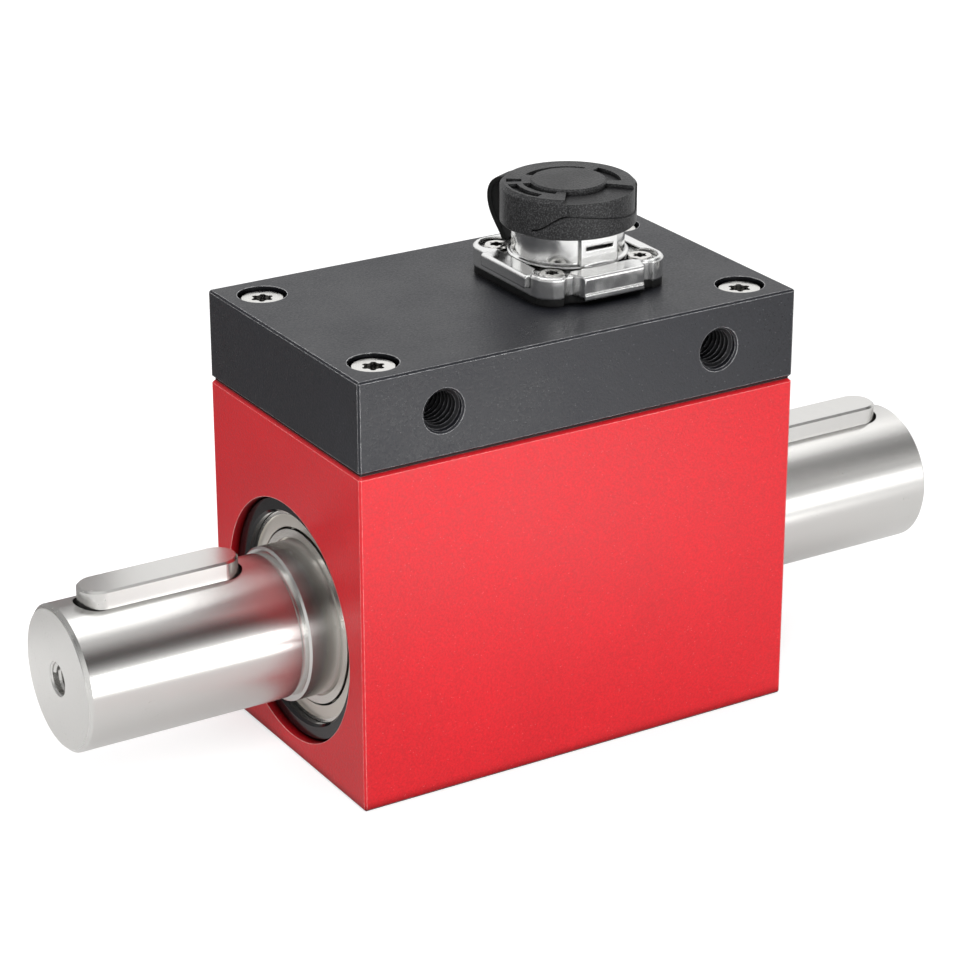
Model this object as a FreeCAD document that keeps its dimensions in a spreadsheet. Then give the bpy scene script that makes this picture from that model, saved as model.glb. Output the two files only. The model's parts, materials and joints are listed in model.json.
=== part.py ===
"""Rotary torque sensor: a red block housing with a keyed through-shaft and a capped connector.

The frame stands on the middle of the housing's underside: X runs along the shaft, -Y is the
front face with the two tapped holes, and Z is up. All sizes are in millimetres.
"""
import FreeCAD, Part
import math
import os
import re
import Sketcher
from FreeCAD import Vector

# Driving dimensions: name, value, what it is
SIZES = [
    ("block_length", 95, "housing block, along the shaft"),
    ("block_width", 58, "housing block, front to back"),
    ("block_height", 67.2, "housing block, underside to parting face"),
    ("edge_break", 0.4, "chamfer on the machined outer edges"),
    ("seam_break", 0.6, "chamfer on both sides of the parting line"),
    ("fit_gap", 0.02, "clearance of parts pressed or screwed into each other"),
    ("shaft_height", 27.7, "shaft axis above the underside"),
    ("carrier_radius", 24, "bore in each end face, filled by a bearing carrier"),
    ("carrier_recess", 1.7, "face of the carrier behind the end face"),
    ("carrier_length", 11.3, "bearing carrier, along the shaft"),
    ("carrier_break", 0.5, "chamfers of the carrier"),
    ("lip_thickness", 1.7, "carrier lip in front of the bearing"),
    ("lip_radius", 20.7, "opening in the carrier lip"),
    ("core_radius", 22, "bore of the block between the carriers"),
    ("bearing_width", 7, "bearing, along the shaft"),
    ("bearing_outside", 21, "bearing outer ring, outer radius"),
    ("outer_land", 19.9, "bearing outer ring, inner radius at its faces"),
    ("outer_bore", 19.3, "bearing outer ring, inner radius between the shields"),
    ("shield_inside", 17.45, "hole in a bearing shield, radius"),
    ("shield_thickness", 0.35, "bearing shield"),
    ("shield_recess", 0.25, "bearing shield behind the ring's face"),
    ("shield_play", 0.05, "play of a shield in front of its seat"),
    ("inner_land", 17.0, "bearing inner ring, outer radius"),
    ("ball_pitch", 18.1, "circle of the ball centres, radius"),
    ("ball_radius", 1.75, "bearing ball"),
    ("ball_count", 14, "balls in a bearing"),
    ("race_gap", 0.03, "clearance between a ball and its track"),
    ("cage_inside", 17.55, "ball cage, inner radius"),
    ("cage_outside", 18.65, "ball cage, outer radius"),
    ("cage_width", 4.6, "ball cage, along the shaft"),
    ("pocket_gap", 0.08, "clearance between a ball and its pocket"),
    ("ring_break", 0.4, "chamfer of the bearing rings"),
    ("snap_thickness", 1.2, "retaining ring behind a bearing"),
    ("snap_groove", 22.2, "groove of the retaining ring, radius"),
    ("snap_inside", 19.4, "retaining ring, inner radius"),
    ("snap_opening", 5, "open ends of the retaining ring, from tip to tip"),
    ("overrun", 1, "how far a cut runs past the solid"),
    ("shaft_reach", 47.5, "shaft beyond each end face of the block"),
    ("journal_radius", 14, "shaft ends"),
    ("seat_radius", 15, "bearing seats"),
    ("seat_reach", 3.2, "bearing seat beyond the end face of the block"),
    ("undercut_radius", 13.6, "relief groove beside a bearing seat"),
    ("undercut_width", 0.8, "relief groove, flat bottom"),
    ("shaft_break", 0.8, "chamfer of the shaft ends"),
    ("shoulder_radius", 17, "shoulder between the bearings"),
    ("shoulder_reach", 2, "shoulder beyond the coils, towards the middle"),
    ("torsion_radius", 10, "thin measuring section in the middle"),
    ("torsion_fillet", 3, "run-out at the ends of the measuring section"),
    ("centre_radius", 3, "tapped hole in each shaft end"),
    ("centre_depth", 16, "tapped hole in each shaft end"),
    ("centre_break", 0.4, "countersink of that hole"),
    ("key_width", 8, "parallel key"),
    ("key_height", 7, "parallel key"),
    ("key_length", 32, "parallel key, end to end"),
    ("key_inset", 5, "parallel key, from the end of the shaft"),
    ("key_break", 0.4, "chamfer of the key"),
    ("keyway_depth", 4, "keyway below the top of the shaft end"),
    ("keyway_gap", 0.8, "end play of the key in its keyway"),
    ("keyway_play", 0.1, "play of the key in its keyway, at each side"),
    ("coil_clearance", 1.5, "both coils from the right bearing carrier"),
    ("coil_length", 11, "both coils, along the shaft"),
    ("stator_inside", 19.7, "stator coil former, inner radius"),
    ("rotor_outside", 19.2, "rotor coil former, outer radius"),
    ("coil_wall", 0.5, "wall of both coil formers"),
    ("coil_flange", 0.9, "flanges of both coil formers"),
    ("coil_gap", 0.25, "turns of both coils below the flanges' rims"),
    ("disc_inset", 6, "middle of the speed disc from the left bearing carrier"),
    ("disc_thickness", 3, "speed disc"),
    ("disc_radius", 20.6, "speed disc over its teeth"),
    ("tooth_height", 1.0, "teeth of the speed disc"),
    ("tooth_count", 48, "teeth of the speed disc"),
    ("gauge_length", 9, "strain gauge patch"),
    ("gauge_angle", 28, "strain gauge patch, round the shaft"),
    ("gauge_thickness", 0.3, "strain gauge patch"),
    ("pickup_radius", 2.5, "speed pickup"),
    ("pickup_air", 0.4, "gap between the speed disc and its pickup"),
    ("pickup_flange", 1.5, "head of the speed pickup"),
    ("pickup_head", 3.2, "head of the speed pickup, radius"),
    ("wire_radius", 0.5, "lead of the stator coil"),
    ("wire_spacing", 3, "leads of the stator coil"),
    ("lead_hole", 3, "hole for the leads, radius"),
    ("cover_height", 17.85, "top cover"),
    ("gasket_thickness", 0.25, "seal in the parting line"),
    ("gasket_inset", 0.6, "seal behind the outer faces"),
    ("cover_end_wall", 15.5, "cover between the electronics space and an end face"),
    ("cover_side_wall", 14, "cover between the electronics space and the front or back"),
    ("roof_thickness", 5, "cover above the electronics"),
    ("screw_from_end", 7.5, "cover screws from the end faces"),
    ("screw_from_side", 7.75, "cover screws from the front and back"),
    ("counterbore_radius", 4.75, "counterbore of a cover screw"),
    ("head_recess", 0.7, "cover screw below the cover's top"),
    ("head_height", 5, "cover screw head"),
    ("head_radius", 4.25, "cover screw head"),
    ("head_break", 0.3, "chamfer of every screw head"),
    ("screw_radius", 2.5, "cover screw thread"),
    ("screw_length", 25, "cover screw below its head"),
    ("screw_play", 0.3, "clearance round a screw in a plain hole"),
    ("socket_radius", 1.65, "star socket of a cover screw, core"),
    ("socket_lobe", 0.53, "star socket of a cover screw, lobe"),
    ("socket_depth", 2.4, "star socket of a cover screw"),
    ("side_hole_inset", 10, "tapped holes in the front face, from the cover screws"),
    ("side_hole_radius", 4, "tapped holes in the front face"),
    ("side_hole_depth", 12, "tapped holes in the front face"),
    ("side_hole_drop", 8.8, "tapped holes below the cover's top"),
    ("side_hole_break", 0.4, "chamfer of those holes"),
    ("board_end_gap", 3, "circuit board from the ends of the electronics space"),
    ("board_side_gap", 2, "circuit board from the front and back of that space"),
    ("board_thickness", 1.6, "circuit board"),
    ("standoff_height", 4, "circuit board above the block"),
    ("standoff_radius", 2.5, "standoff"),
    ("board_screw_inset", 4, "board screws from the edges of the board"),
    ("board_screw_radius", 1.25, "board screw thread"),
    ("board_head_radius", 2.25, "board screw head"),
    ("board_head_height", 1.6, "board screw head"),
    ("board_screw_length", 10, "board screw below its head"),
    ("chip_x", -12, "large chip, from the middle"),
    ("chip_size", 10, "large chip, along each side"),
    ("amplifier_x", -2, "small chip, from the middle along the shaft"),
    ("amplifier_y", 7, "small chip, from the middle towards the back"),
    ("amplifier_length", 5, "small chip"),
    ("amplifier_width", 4, "small chip"),
    ("crystal_x", -22, "crystal, from the middle"),
    ("crystal_length", 3, "crystal"),
    ("crystal_width", 6, "crystal"),
    ("part_height", 1.6, "parts on the circuit board"),
    ("connector_inset", 32.7, "connector axis, from the right end face"),
    ("pad_thickness", 1.5, "rubber pad under the connector flange"),
    ("pad_inset", 0.2, "rubber pad behind the edge of the flange"),
    ("flange_top", 5.6, "connector flange rim, above the cover"),
    ("floor_depth", 0.9, "sunk floor of the flange, below its rim"),
    ("floor_half", 11.8, "sunk floor, half its width"),
    ("floor_lobe", 3.5, "sunk floor round a flange screw, radius"),
    ("flange_screw", 9.9, "flange screws, from the connector axis"),
    ("lobe_radius", 4.5, "rounded corner of the flange, about its screw"),
    ("lobe_break", 0.4, "chamfer round the flange's top"),
    ("neck_place", 8.3, "hollow beside the flange's front panel, from its middle"),
    ("neck_depth", 0.9, "hollow beside the front panel"),
    ("neck_round", 1.9, "hollow beside the front panel, radius"),
    ("panel_reach", 16.3, "front panel of the flange, from the connector axis"),
    ("panel_root", 13.4, "sloped end of the front panel at the flange, from the axis"),
    ("panel_half", 6.6, "front panel, half its length at its face"),
    ("panel_foot", 7.7, "front panel, half its length at the flange"),
    ("bar_reach", 15.6, "bar on the flange's left side, from the connector axis"),
    ("bar_front", 9.4, "front end of the bar, from the connector axis"),
    ("bar_back", 6.2, "back end of the bar, from the connector axis"),
    ("bar_lift", 1.6, "bar above the flange's underside"),
    ("skirt_depth", 0.5, "lip below the front panel, under the flange's underside"),
    ("skirt_height", 1.1, "lip below the front panel"),
    ("skirt_lip", 0.15, "lip in front of the front panel"),
    ("skirt_thickness", 1.5, "lip below the front panel"),
    ("flare_radius", 11.6, "foot ring of the connector neck"),
    ("flare_height", 0.5, "foot ring of the connector neck"),
    ("flare_break", 0.35, "rounding of the foot ring"),
    ("groove_radius", 10.25, "groove under the foot ring"),
    ("groove_height", 0.4, "groove under the foot ring"),
    ("neck_radius", 10.85, "connector neck"),
    ("neck_top", 12.2, "shoulder of the connector neck, above the cover"),
    ("barrel_radius", 10.5, "connector barrel under the cap"),
    ("barrel_top", 17.3, "connector barrel, above the cover"),
    ("barrel_bore", 9.2, "connector barrel, inside"),
    ("tail_radius", 9.5, "connector behind the flange"),
    ("tail_length", 8, "connector behind the flange"),
    ("tail_bore", 8.8, "connector behind the flange, inside"),
    ("barrel_break", 0.5, "chamfer of the connector barrel"),
    ("seal_place", 14.6, "barrel seal, above the cover"),
    ("seal_radius", 0.6, "barrel seal, section"),
    ("seal_gap", 0.05, "barrel seal from the cap"),
    ("flat_width", 8.2, "flat key on the front of the neck"),
    ("flat_reach", 11.05, "flat key on the front of the neck, from the connector axis"),
    ("slot_width", 6.0, "slot in the flat key"),
    ("slot_height", 0.75, "slot in the flat key"),
    ("slot_place", 9.0, "slot in the flat key, above the cover"),
    ("cap_sink", 0.1, "flat key below the cap's rim"),
    ("insert_face", 10.6, "contact carrier face, above the cover"),
    ("insert_rim", 1.6, "thick rim of the contact carrier"),
    ("insert_break", 0.3, "chamfer of the contact carrier"),
    ("insert_tail", 0.5, "contact carrier behind the end of the connector"),
    ("outer_contacts", 9, "contacts on the outer circle"),
    ("inner_contacts", 3, "contacts on the inner circle"),
    ("outer_circle", 5.7, "outer contact circle, radius"),
    ("inner_circle", 2.3, "inner contact circle, radius"),
    ("contact_radius", 0.9, "contact socket"),
    ("contact_hole", 0.5, "hole in a contact socket, radius"),
    ("contact_depth", 5, "hole in a contact socket"),
    ("contact_recess", 0.2, "contact socket behind the face of the contact carrier"),
    ("tail_pin", 0.4, "pin of a contact at the board, radius"),
    ("flange_head_radius", 2.5, "flange screw head"),
    ("flange_head_height", 2.0, "flange screw head"),
    ("flange_sink", 0.25, "flange screw below the flange's rim"),
    ("flange_thread", 1.5, "flange screw thread"),
    ("flange_length", 8, "flange screw below its head"),
    ("flange_socket_radius", 1.05, "star socket of a flange screw, core"),
    ("flange_socket_lobe", 0.34, "star socket of a flange screw, lobe"),
    ("flange_socket_depth", 1.1, "star socket of a flange screw"),
    ("cap_radius", 13.05, "protective cap"),
    ("cap_bottom", 11.3, "protective cap, above the cover"),
    ("cap_top", 19.1, "protective cap, above the cover"),
    ("cap_break", 0.7, "rounding of the cap's top edge"),
    ("cap_rim_break", 0.3, "chamfer of the cap's lower edge"),
    ("cap_bore", 11.1, "cap around the barrel"),
    ("liner_thickness", 0.65, "sealing disc in the cap"),
    ("liner_gap", 0.05, "sealing disc from the cap's wall"),
    ("disc_top_radius", 7.3, "raised disc on the cap"),
    ("disc_top_height", 0.35, "raised disc on the cap"),
    ("disc_top_break", 0.3, "sloped edge of the raised disc"),
    ("hollow_depth", 0.8, "hollows on the cap"),
    ("inner_hollow", 8.9, "inner crescent on the cap, outer radius"),
    ("outer_hollow", 10, "outer crescent on the cap, inner radius"),
    ("hollow_rim", 11.8, "outer crescent on the cap, outer radius"),
    ("crescent_start", 161, "both crescents on the cap, start angle from +X"),
    ("inner_span", 60, "inner crescent on the cap, angle"),
    ("outer_span", 47, "outer crescent on the cap, angle"),
    ("notch_start", 143, "notch left of the crescents, start angle"),
    ("notch_span", 10, "notch left of the crescents, angle"),
    ("open_depth", 0.8, "open hollow on the cap"),
    ("open_start", 234, "open hollow on the cap, start angle"),
    ("open_span", 79, "open hollow on the cap, angle"),
    ("back_start", 36, "hollow at the back of the cap, start angle"),
    ("back_span", 88, "hollow at the back of the cap, angle"),
    ("side_start", -32, "hollow at the right of the cap, start angle"),
    ("side_span", 54, "hollow at the right of the cap, angle"),
    ("relief_turn", -31.3, "middle of the relief on the cap's side, from -Y"),
    ("relief_depth", 0.35, "relief on the cap's side"),
    ("relief_step", -0.5, "upright step of the relief, right of its middle"),
    ("relief_start", -7.0, "left end of the relief's curved line, from its middle"),
    ("relief_low", 12.6, "left end of the curved line, above the cover"),
    ("relief_top", 15.9, "top of the curved line, above the cover"),
    ("relief_end", 13.2, "right end of the curved line, above the cover"),
    ("relief_groove", 0.35, "groove that carries the line on to the left, its width"),
    ("strap_width", 5, "cap strap"),
    ("strap_thickness", 1.2, "cap strap"),
    ("strap_angle", 116, "direction of the cap strap about the connector, from +X"),
    ("strap_foot", 12.9, "foot of the cap strap, from the connector axis"),
    ("strap_bulge", 16.9, "widest part of the cap strap, from the connector axis"),
    ("strap_level", 17.4, "upper end of the cap strap, above the cover"),
    ("strap_waist", 6.5, "height over which the strap leans out, above the flange"),
    ("strap_bend", 1.2, "corner of the strap's outer bend"),
    ("strap_gap", 0.05, "end of the strap from the cap"),
]
LEFT, RIGHT = -1, 1
SIDES = {"left": LEFT, "right": RIGHT}

doc = FreeCAD.newDocument("RotaryTorqueSensor")
sheet = doc.addObject("Spreadsheet::Sheet", "Sizes")
for row, (alias, amount, meaning) in enumerate(SIZES, start=1):
    sheet.set(f"A{row}", alias)
    sheet.set(f"B{row}", str(amount))
    sheet.set(f"C{row}", meaning)
    sheet.setAlias(f"B{row}", alias)
doc.recompute()

ALIAS = re.compile(r"\b(" + "|".join(alias for alias, _, _ in SIZES) + r")\b")

# Heights and places that several pieces share, as expressions of the sizes
COVER_BASE = "(block_height + gasket_thickness)"
COVER_TOP = f"({COVER_BASE} + cover_height)"
BOARD_BASE = "(block_height + standoff_height)"
BOARD_TOP = f"({BOARD_BASE} + board_thickness)"
CARRIER_FACE = "(block_length / 2 - carrier_recess)"
CARRIER_END = f"({CARRIER_FACE} - carrier_length)"
BEARING_FACE = f"({CARRIER_FACE} - lip_thickness)"
BEARING_BACK = f"({BEARING_FACE} - bearing_width)"
BEARING_MIDDLE = f"({BEARING_FACE} - bearing_width / 2)"
COIL_START = f"({CARRIER_END} - coil_clearance - coil_length)"
COIL_END = f"({CARRIER_END} - coil_clearance)"
DISC_PLACE = f"({CARRIER_END} - disc_inset)"
SEAT_END = "(block_length / 2 + seat_reach)"
SHOULDER_END = f"({COIL_START} - shoulder_reach)"
SHAFT_END = "(block_length / 2 + shaft_reach)"
KEY_END = f"({SHAFT_END} - key_inset)"
CONNECTOR_X = "(block_length / 2 - connector_inset)"
SPACE_X = "(block_length / 2 - cover_end_wall)"
SPACE_Y = "(block_width / 2 - cover_side_wall)"
BOARD_X, BOARD_Y = f"({SPACE_X} - board_end_gap)", f"({SPACE_Y} - board_side_gap)"
COVER_SCREW_X = "(block_length / 2 - screw_from_end)"
COVER_SCREW_Y = "(block_width / 2 - screw_from_side)"
HEAD_SEAT = f"({COVER_TOP} - head_recess - head_height)"
FLANGE_SEAT = "(flange_top - flange_sink - flange_head_height)"
SEAL_CIRCLE = "(cap_bore - seal_radius - seal_gap)"
FLANGE_FLOOR = "(flange_top - floor_depth)"

SAME = 1e-3  # lengths that differ by less than this are taken as equal


def bound(text):
    """The expression with each size's name pointed at the spreadsheet."""
    return ALIAS.sub(r"Sizes.\1", str(text))


def number(text):
    """The expression's value now."""
    return float(sheet.evalExpression(bound(text)))


def origin(body, role):
    """A plane or an axis of the body's own origin."""
    return next(part for part in body.Origin.OriginFeatures if part.Role == role)


def new_body(label, across="0", lift="0"):
    """A sub-part whose own origin is moved along X and Z."""
    body = doc.addObject("PartDesign::Body", label)
    body.Label = label
    body.setExpression("Placement.Base.x", bound(across))
    body.setExpression("Placement.Base.z", bound(lift))
    return body


def new_sketch(body, role="XZ_Plane", level="0"):
    """A sketch on an origin plane, moved along the plane's normal."""
    sketch = body.newObject("Sketcher::SketchObject", "Sketch")
    sketch.AttachmentSupport = [(origin(body, role), "")]
    sketch.MapMode = "FlatFace"
    sketch.setExpression("AttachmentOffset.Base.z", bound(level))
    return sketch


def pin_point(sketch, geometry, end, across, up):
    """Ties one point of a sketch to two expressions."""
    for kind, text in (("DistanceX", across), ("DistanceY", up)):
        index = sketch.addConstraint(Sketcher.Constraint(kind, -1, 1, geometry, end, number(text)))
        sketch.setExpression(f"Constraints[{index}]", bound(text))


def polygon(sketch, corners):
    """A closed outline through corners that are pairs of expressions."""
    points = [Vector(number(across), number(up), 0) for across, up in corners]
    first = sketch.GeometryCount
    for here, there in zip(points, points[1:] + points[:1]):
        sketch.addGeometry(Part.LineSegment(here, there), False)
    for index, (across, up) in enumerate(corners):
        following = first + (index + 1) % len(corners)
        sketch.addConstraint(Sketcher.Constraint("Coincident", first + index, 2, following, 1))
        pin_point(sketch, first + index, 1, across, up)
    return sketch


def rectangle(sketch, low, high):
    """A closed rectangle between two opposite corners."""
    return polygon(sketch, [low, (high[0], low[1]), high, (low[0], high[1])])


def circle(sketch, across, up, radius):
    """A circle whose centre and radius are expressions."""
    middle = Vector(number(across), number(up), 0)
    index = sketch.addGeometry(Part.Circle(middle, Vector(0, 0, 1), number(radius)), False)
    pin_point(sketch, index, 3, across, up)
    rule = sketch.addConstraint(Sketcher.Constraint("Radius", index, number(radius)))
    sketch.setExpression(f"Constraints[{rule}]", bound(radius))
    return sketch


def circles(sketch, places, radius):
    """Equal circles at several places."""
    for across, up in places:
        circle(sketch, across, up, radius)
    return sketch


def extrude(body, kind, sketch, length, back=False, both=False):
    """A pad or a pocket of the sketch."""
    feature = body.newObject(f"PartDesign::{kind}", kind)
    feature.Profile = sketch
    feature.setExpression("Length", bound(length))
    feature.Reversed = back
    if both:
        feature.SideType = "Symmetric"
    doc.recompute()
    return feature


def pad(body, sketch, length, back=False, both=False):
    return extrude(body, "Pad", sketch, length, back, both)


def pocket(body, sketch, length, back=False, both=False):
    return extrude(body, "Pocket", sketch, length, back, both)


def spin(body, kind, sketch, axis="H_Axis"):
    """A full turn of the sketch about one of its own axes."""
    feature = body.newObject(f"PartDesign::{kind}", kind)
    feature.Profile = sketch
    feature.ReferenceAxis = (sketch, [axis])
    feature.Angle = 360
    doc.recompute()
    return feature


def polar(body, feature, axis, count):
    """Copies of a feature around an axis of the body's origin."""
    pattern = body.newObject("PartDesign::PolarPattern", "PolarPattern")
    pattern.Originals = [feature]
    pattern.Axis = (origin(body, axis), [""])
    pattern.Angle = 360
    pattern.setExpression("Occurrences", bound(count))
    body.Tip = pattern
    doc.recompute()
    return pattern


def bevel(body, size, wanted):
    """A chamfer along the body's edges that the test picks."""
    base = body.Tip
    picked = [f"Edge{i}" for i, edge in enumerate(base.Shape.Edges, start=1) if wanted(edge)]
    chamfer = body.newObject("PartDesign::Chamfer", "Chamfer")
    chamfer.Base = (base, picked)
    chamfer.setExpression("Size", bound(size))
    doc.recompute()
    return chamfer


def lies_at(edge, axis, value):
    """True if the whole edge lies at one coordinate."""
    box = edge.BoundBox
    ends = getattr(box, f"{axis}Min"), getattr(box, f"{axis}Max")
    return all(abs(end - value) < SAME for end in ends)


def corners(half_across, half_up, middle="0"):
    """The four corners of a rectangle about a middle on the first axis."""
    return [
        (f"({middle}) + {i} * ({half_across})", f"{k} * ({half_up})") for i in (-1, 1) for k in (-1, 1)
    ]


def cover_screw_places():
    return corners(COVER_SCREW_X, COVER_SCREW_Y)


def board_screw_places():
    return corners(f"({BOARD_X} - board_screw_inset)", f"({BOARD_Y} - board_screw_inset)")


def facing(side, places):
    """A profile that runs along the shaft, turned towards the left or right end."""
    return [(f"{side} * ({along})", out) for along, out in places]


def tube(body, start, end, inside, outside, side=RIGHT, axis="H_Axis"):
    """A plain ring about the sketch axis."""
    low, high = (f"{side} * ({start})", inside), (f"{side} * ({end})", outside)
    if axis == "V_Axis":
        low, high = (inside, start), (outside, end)
    return spin(body, "Revolution", rectangle(new_sketch(body), low, high), axis)


def housing_block():
    """The machined block: a stepped bore for the shaft and tapped holes in its top."""
    body = new_body("housing_block")
    half_length, half_width = "block_length / 2", "block_width / 2"
    base = new_sketch(body, "XY_Plane")
    rectangle(base, (f"-{half_length}", f"-{half_width}"), (half_length, half_width))
    pad(body, base, "block_height")
    top = number("block_height")
    bevel(body, "edge_break", lambda edge: not lies_at(edge, "Z", top))
    bevel(body, "seam_break", lambda edge: lies_at(edge, "Z", top))
    bore = circle(new_sketch(body, "YZ_Plane"), "0", "shaft_height", "core_radius")
    pocket(body, bore, "block_length + 2 * overrun", both=True)
    for side in (LEFT, RIGHT):
        seat = new_sketch(body, "YZ_Plane", f"{side} * {CARRIER_END}")
        circle(seat, "0", "shaft_height", "carrier_radius")
        pocket(body, seat, "carrier_recess + carrier_length + overrun", back=side == RIGHT)
    roof = new_sketch(body, "XY_Plane", "block_height")
    circles(roof, cover_screw_places(), "screw_radius + fit_gap")
    pocket(body, roof, f"block_height - ({HEAD_SEAT} - screw_length) + screw_radius")
    board = new_sketch(body, "XY_Plane", "block_height")
    circles(board, board_screw_places(), "board_screw_radius + fit_gap")
    pocket(body, board, "board_screw_length - board_thickness - standoff_height + board_screw_radius")
    pickup = new_sketch(body, "XY_Plane", "block_height")
    circle(pickup, f"-{DISC_PLACE}", "0", "pickup_radius + fit_gap")
    circle(pickup, f"{COIL_END} - coil_length / 2", "0", "lead_hole")
    pocket(body, pickup, "block_height - shaft_height - core_radius / 2")
    return body


def cover_gasket():
    """The thin seal in the parting line, a frame with holes for the cover screws."""
    body = new_body("cover_gasket", lift="block_height")
    outline = new_sketch(body, "XY_Plane")
    half_length = "(block_length / 2 - gasket_inset)"
    half_width = "(block_width / 2 - gasket_inset)"
    rectangle(outline, (f"-{half_length}", f"-{half_width}"), (half_length, half_width))
    rectangle(outline, (f"-{SPACE_X}", f"-{SPACE_Y}"), (SPACE_X, SPACE_Y))
    circles(outline, cover_screw_places(), "screw_radius + screw_play")
    pad(body, outline, "gasket_thickness")
    return body


def top_cover():
    """The black cover: electronics space below, connector seat above, tapped front."""
    body = new_body("top_cover", lift=COVER_BASE)
    half_length, half_width = "block_length / 2", "block_width / 2"
    base = new_sketch(body, "XY_Plane")
    rectangle(base, (f"-{half_length}", f"-{half_width}"), (half_length, half_width))
    pad(body, base, "cover_height")
    bevel(body, "edge_break", lambda edge: not lies_at(edge, "Z", 0))
    bevel(body, "seam_break", lambda edge: lies_at(edge, "Z", 0))
    space = new_sketch(body, "XY_Plane")
    rectangle(space, (f"-{SPACE_X}", f"-{SPACE_Y}"), (SPACE_X, SPACE_Y))
    pocket(body, space, "cover_height - roof_thickness", back=True)
    seat = new_sketch(body, "XY_Plane", "cover_height")
    circle(seat, CONNECTOR_X, "0", "tail_radius + screw_play")
    pocket(body, seat, "roof_thickness + overrun")
    threads = new_sketch(body, "XY_Plane", "cover_height")
    circles(threads, corners("flange_screw", "flange_screw", CONNECTOR_X), "flange_thread + fit_gap")
    pocket(body, threads, f"flange_length - {FLANGE_SEAT} + screw_play")
    places = cover_screw_places()
    shank = circles(new_sketch(body, "XY_Plane", "cover_height"), places, "screw_radius + screw_play")
    pocket(body, shank, "cover_height")
    bore = circles(new_sketch(body, "XY_Plane", "cover_height"), places, "counterbore_radius")
    pocket(body, bore, "head_recess + head_height")
    level = "cover_height - side_hole_drop"
    front = new_sketch(body, "XZ_Plane", half_width)
    across = f"({COVER_SCREW_X} - side_hole_inset)"
    circles(front, [(f"-{across}", level), (across, level)], "side_hole_radius")
    pocket(body, front, "side_hole_depth")
    face, width = -number(half_width), 2 * number("side_hole_radius")

    def rim(edge):
        return lies_at(edge, "Y", face) and abs(edge.BoundBox.XLength - width) < SAME

    bevel(body, "side_hole_break", rim)
    return body


def star_socket(body, places, top, core, lobe, depth):
    """Six-lobed sockets, cut as a round core and a ring of lobes."""
    pocket(body, circles(new_sketch(body, "XY_Plane", top), places, core), depth)
    lobes = new_sketch(body, "XY_Plane", top)
    for across, up in places:
        for turn in range(0, 360, 60):
            way = math.radians(turn)
            lobe_x = f"{across} + {math.cos(way):.6f} * {core}"
            lobe_y = f"{up} + {math.sin(way):.6f} * {core}"
            circle(lobes, lobe_x, lobe_y, lobe)
    pocket(body, lobes, depth)


def screw_set(label, places, seat, head, height, thread, length, socket=None, lift="0", across="0"):
    """Equal cap screws, heads upward: one solid each."""
    body = new_body(label, across, lift)
    pad(body, circles(new_sketch(body, "XY_Plane", seat), places, head), height)
    top = number(seat) + number(height)
    bevel(body, "head_break", lambda edge: lies_at(edge, "Z", top))
    pad(body, circles(new_sketch(body, "XY_Plane", seat), places, thread), length, back=True)
    if socket:
        star_socket(body, places, f"{seat} + {height}", *socket)
    return body


def bearing_carrier(name, side):
    """The black sleeve in the end of the block: its lip shows round the shaft."""
    body = new_body(f"bearing_carrier_{name}", lift="shaft_height")
    outside = "(carrier_radius - fit_gap)"
    seat = "(bearing_outside + fit_gap)"
    snap_face = f"({BEARING_BACK} - snap_thickness - fit_gap)"
    profile = [
        (CARRIER_END, seat),
        (CARRIER_END, outside),
        (f"{CARRIER_FACE} - carrier_break", outside),
        (CARRIER_FACE, f"{outside} - carrier_break"),
        (CARRIER_FACE, "lip_radius + carrier_break"),
        (f"{CARRIER_FACE} - carrier_break", "lip_radius"),
        (BEARING_FACE, "lip_radius"),
        (BEARING_FACE, seat),
        (BEARING_BACK, seat),
        (BEARING_BACK, "snap_groove"),
        (snap_face, "snap_groove"),
        (snap_face, seat),
    ]
    spin(body, "Revolution", polygon(new_sketch(body), facing(side, profile)))
    return body


def retaining_ring(name, side):
    """The snap ring behind a bearing, open at the bottom."""
    body = new_body(f"retaining_ring_{name}", lift="shaft_height")
    start, outside = f"{BEARING_BACK} - snap_thickness", "snap_groove - fit_gap"
    tube(body, start, BEARING_BACK, "snap_inside", outside, side)
    gap = new_sketch(body, "XY_Plane")
    low = (f"{side} * {BEARING_BACK} - 2 * snap_thickness", "-snap_opening / 2")
    high = (f"{side} * {BEARING_BACK} + 2 * snap_thickness", "snap_opening / 2")
    pocket(body, rectangle(gap, low, high), "snap_groove + overrun")
    return body


def track(body, side):
    """The ball track in a bearing ring."""
    groove = circle(new_sketch(body), f"{side} * {BEARING_MIDDLE}", "ball_pitch", "ball_radius + race_gap")
    spin(body, "Groove", groove)


def outer_ring(name, side):
    body = new_body(f"outer_ring_{name}", lift="shaft_height")
    inset = "(shield_recess + shield_thickness + shield_play)"
    section = [
        (BEARING_BACK, "outer_land"),
        (BEARING_BACK, "bearing_outside - ring_break"),
        (f"{BEARING_BACK} + ring_break", "bearing_outside"),
        (f"{BEARING_FACE} - ring_break", "bearing_outside"),
        (BEARING_FACE, "bearing_outside - ring_break"),
        (BEARING_FACE, "outer_land"),
        (f"{BEARING_FACE} - {inset}", "outer_land"),
        (f"{BEARING_FACE} - {inset}", "outer_bore"),
        (f"{BEARING_BACK} + {inset}", "outer_bore"),
        (f"{BEARING_BACK} + {inset}", "outer_land"),
    ]
    spin(body, "Revolution", polygon(new_sketch(body), facing(side, section)))
    track(body, side)
    return body


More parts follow.
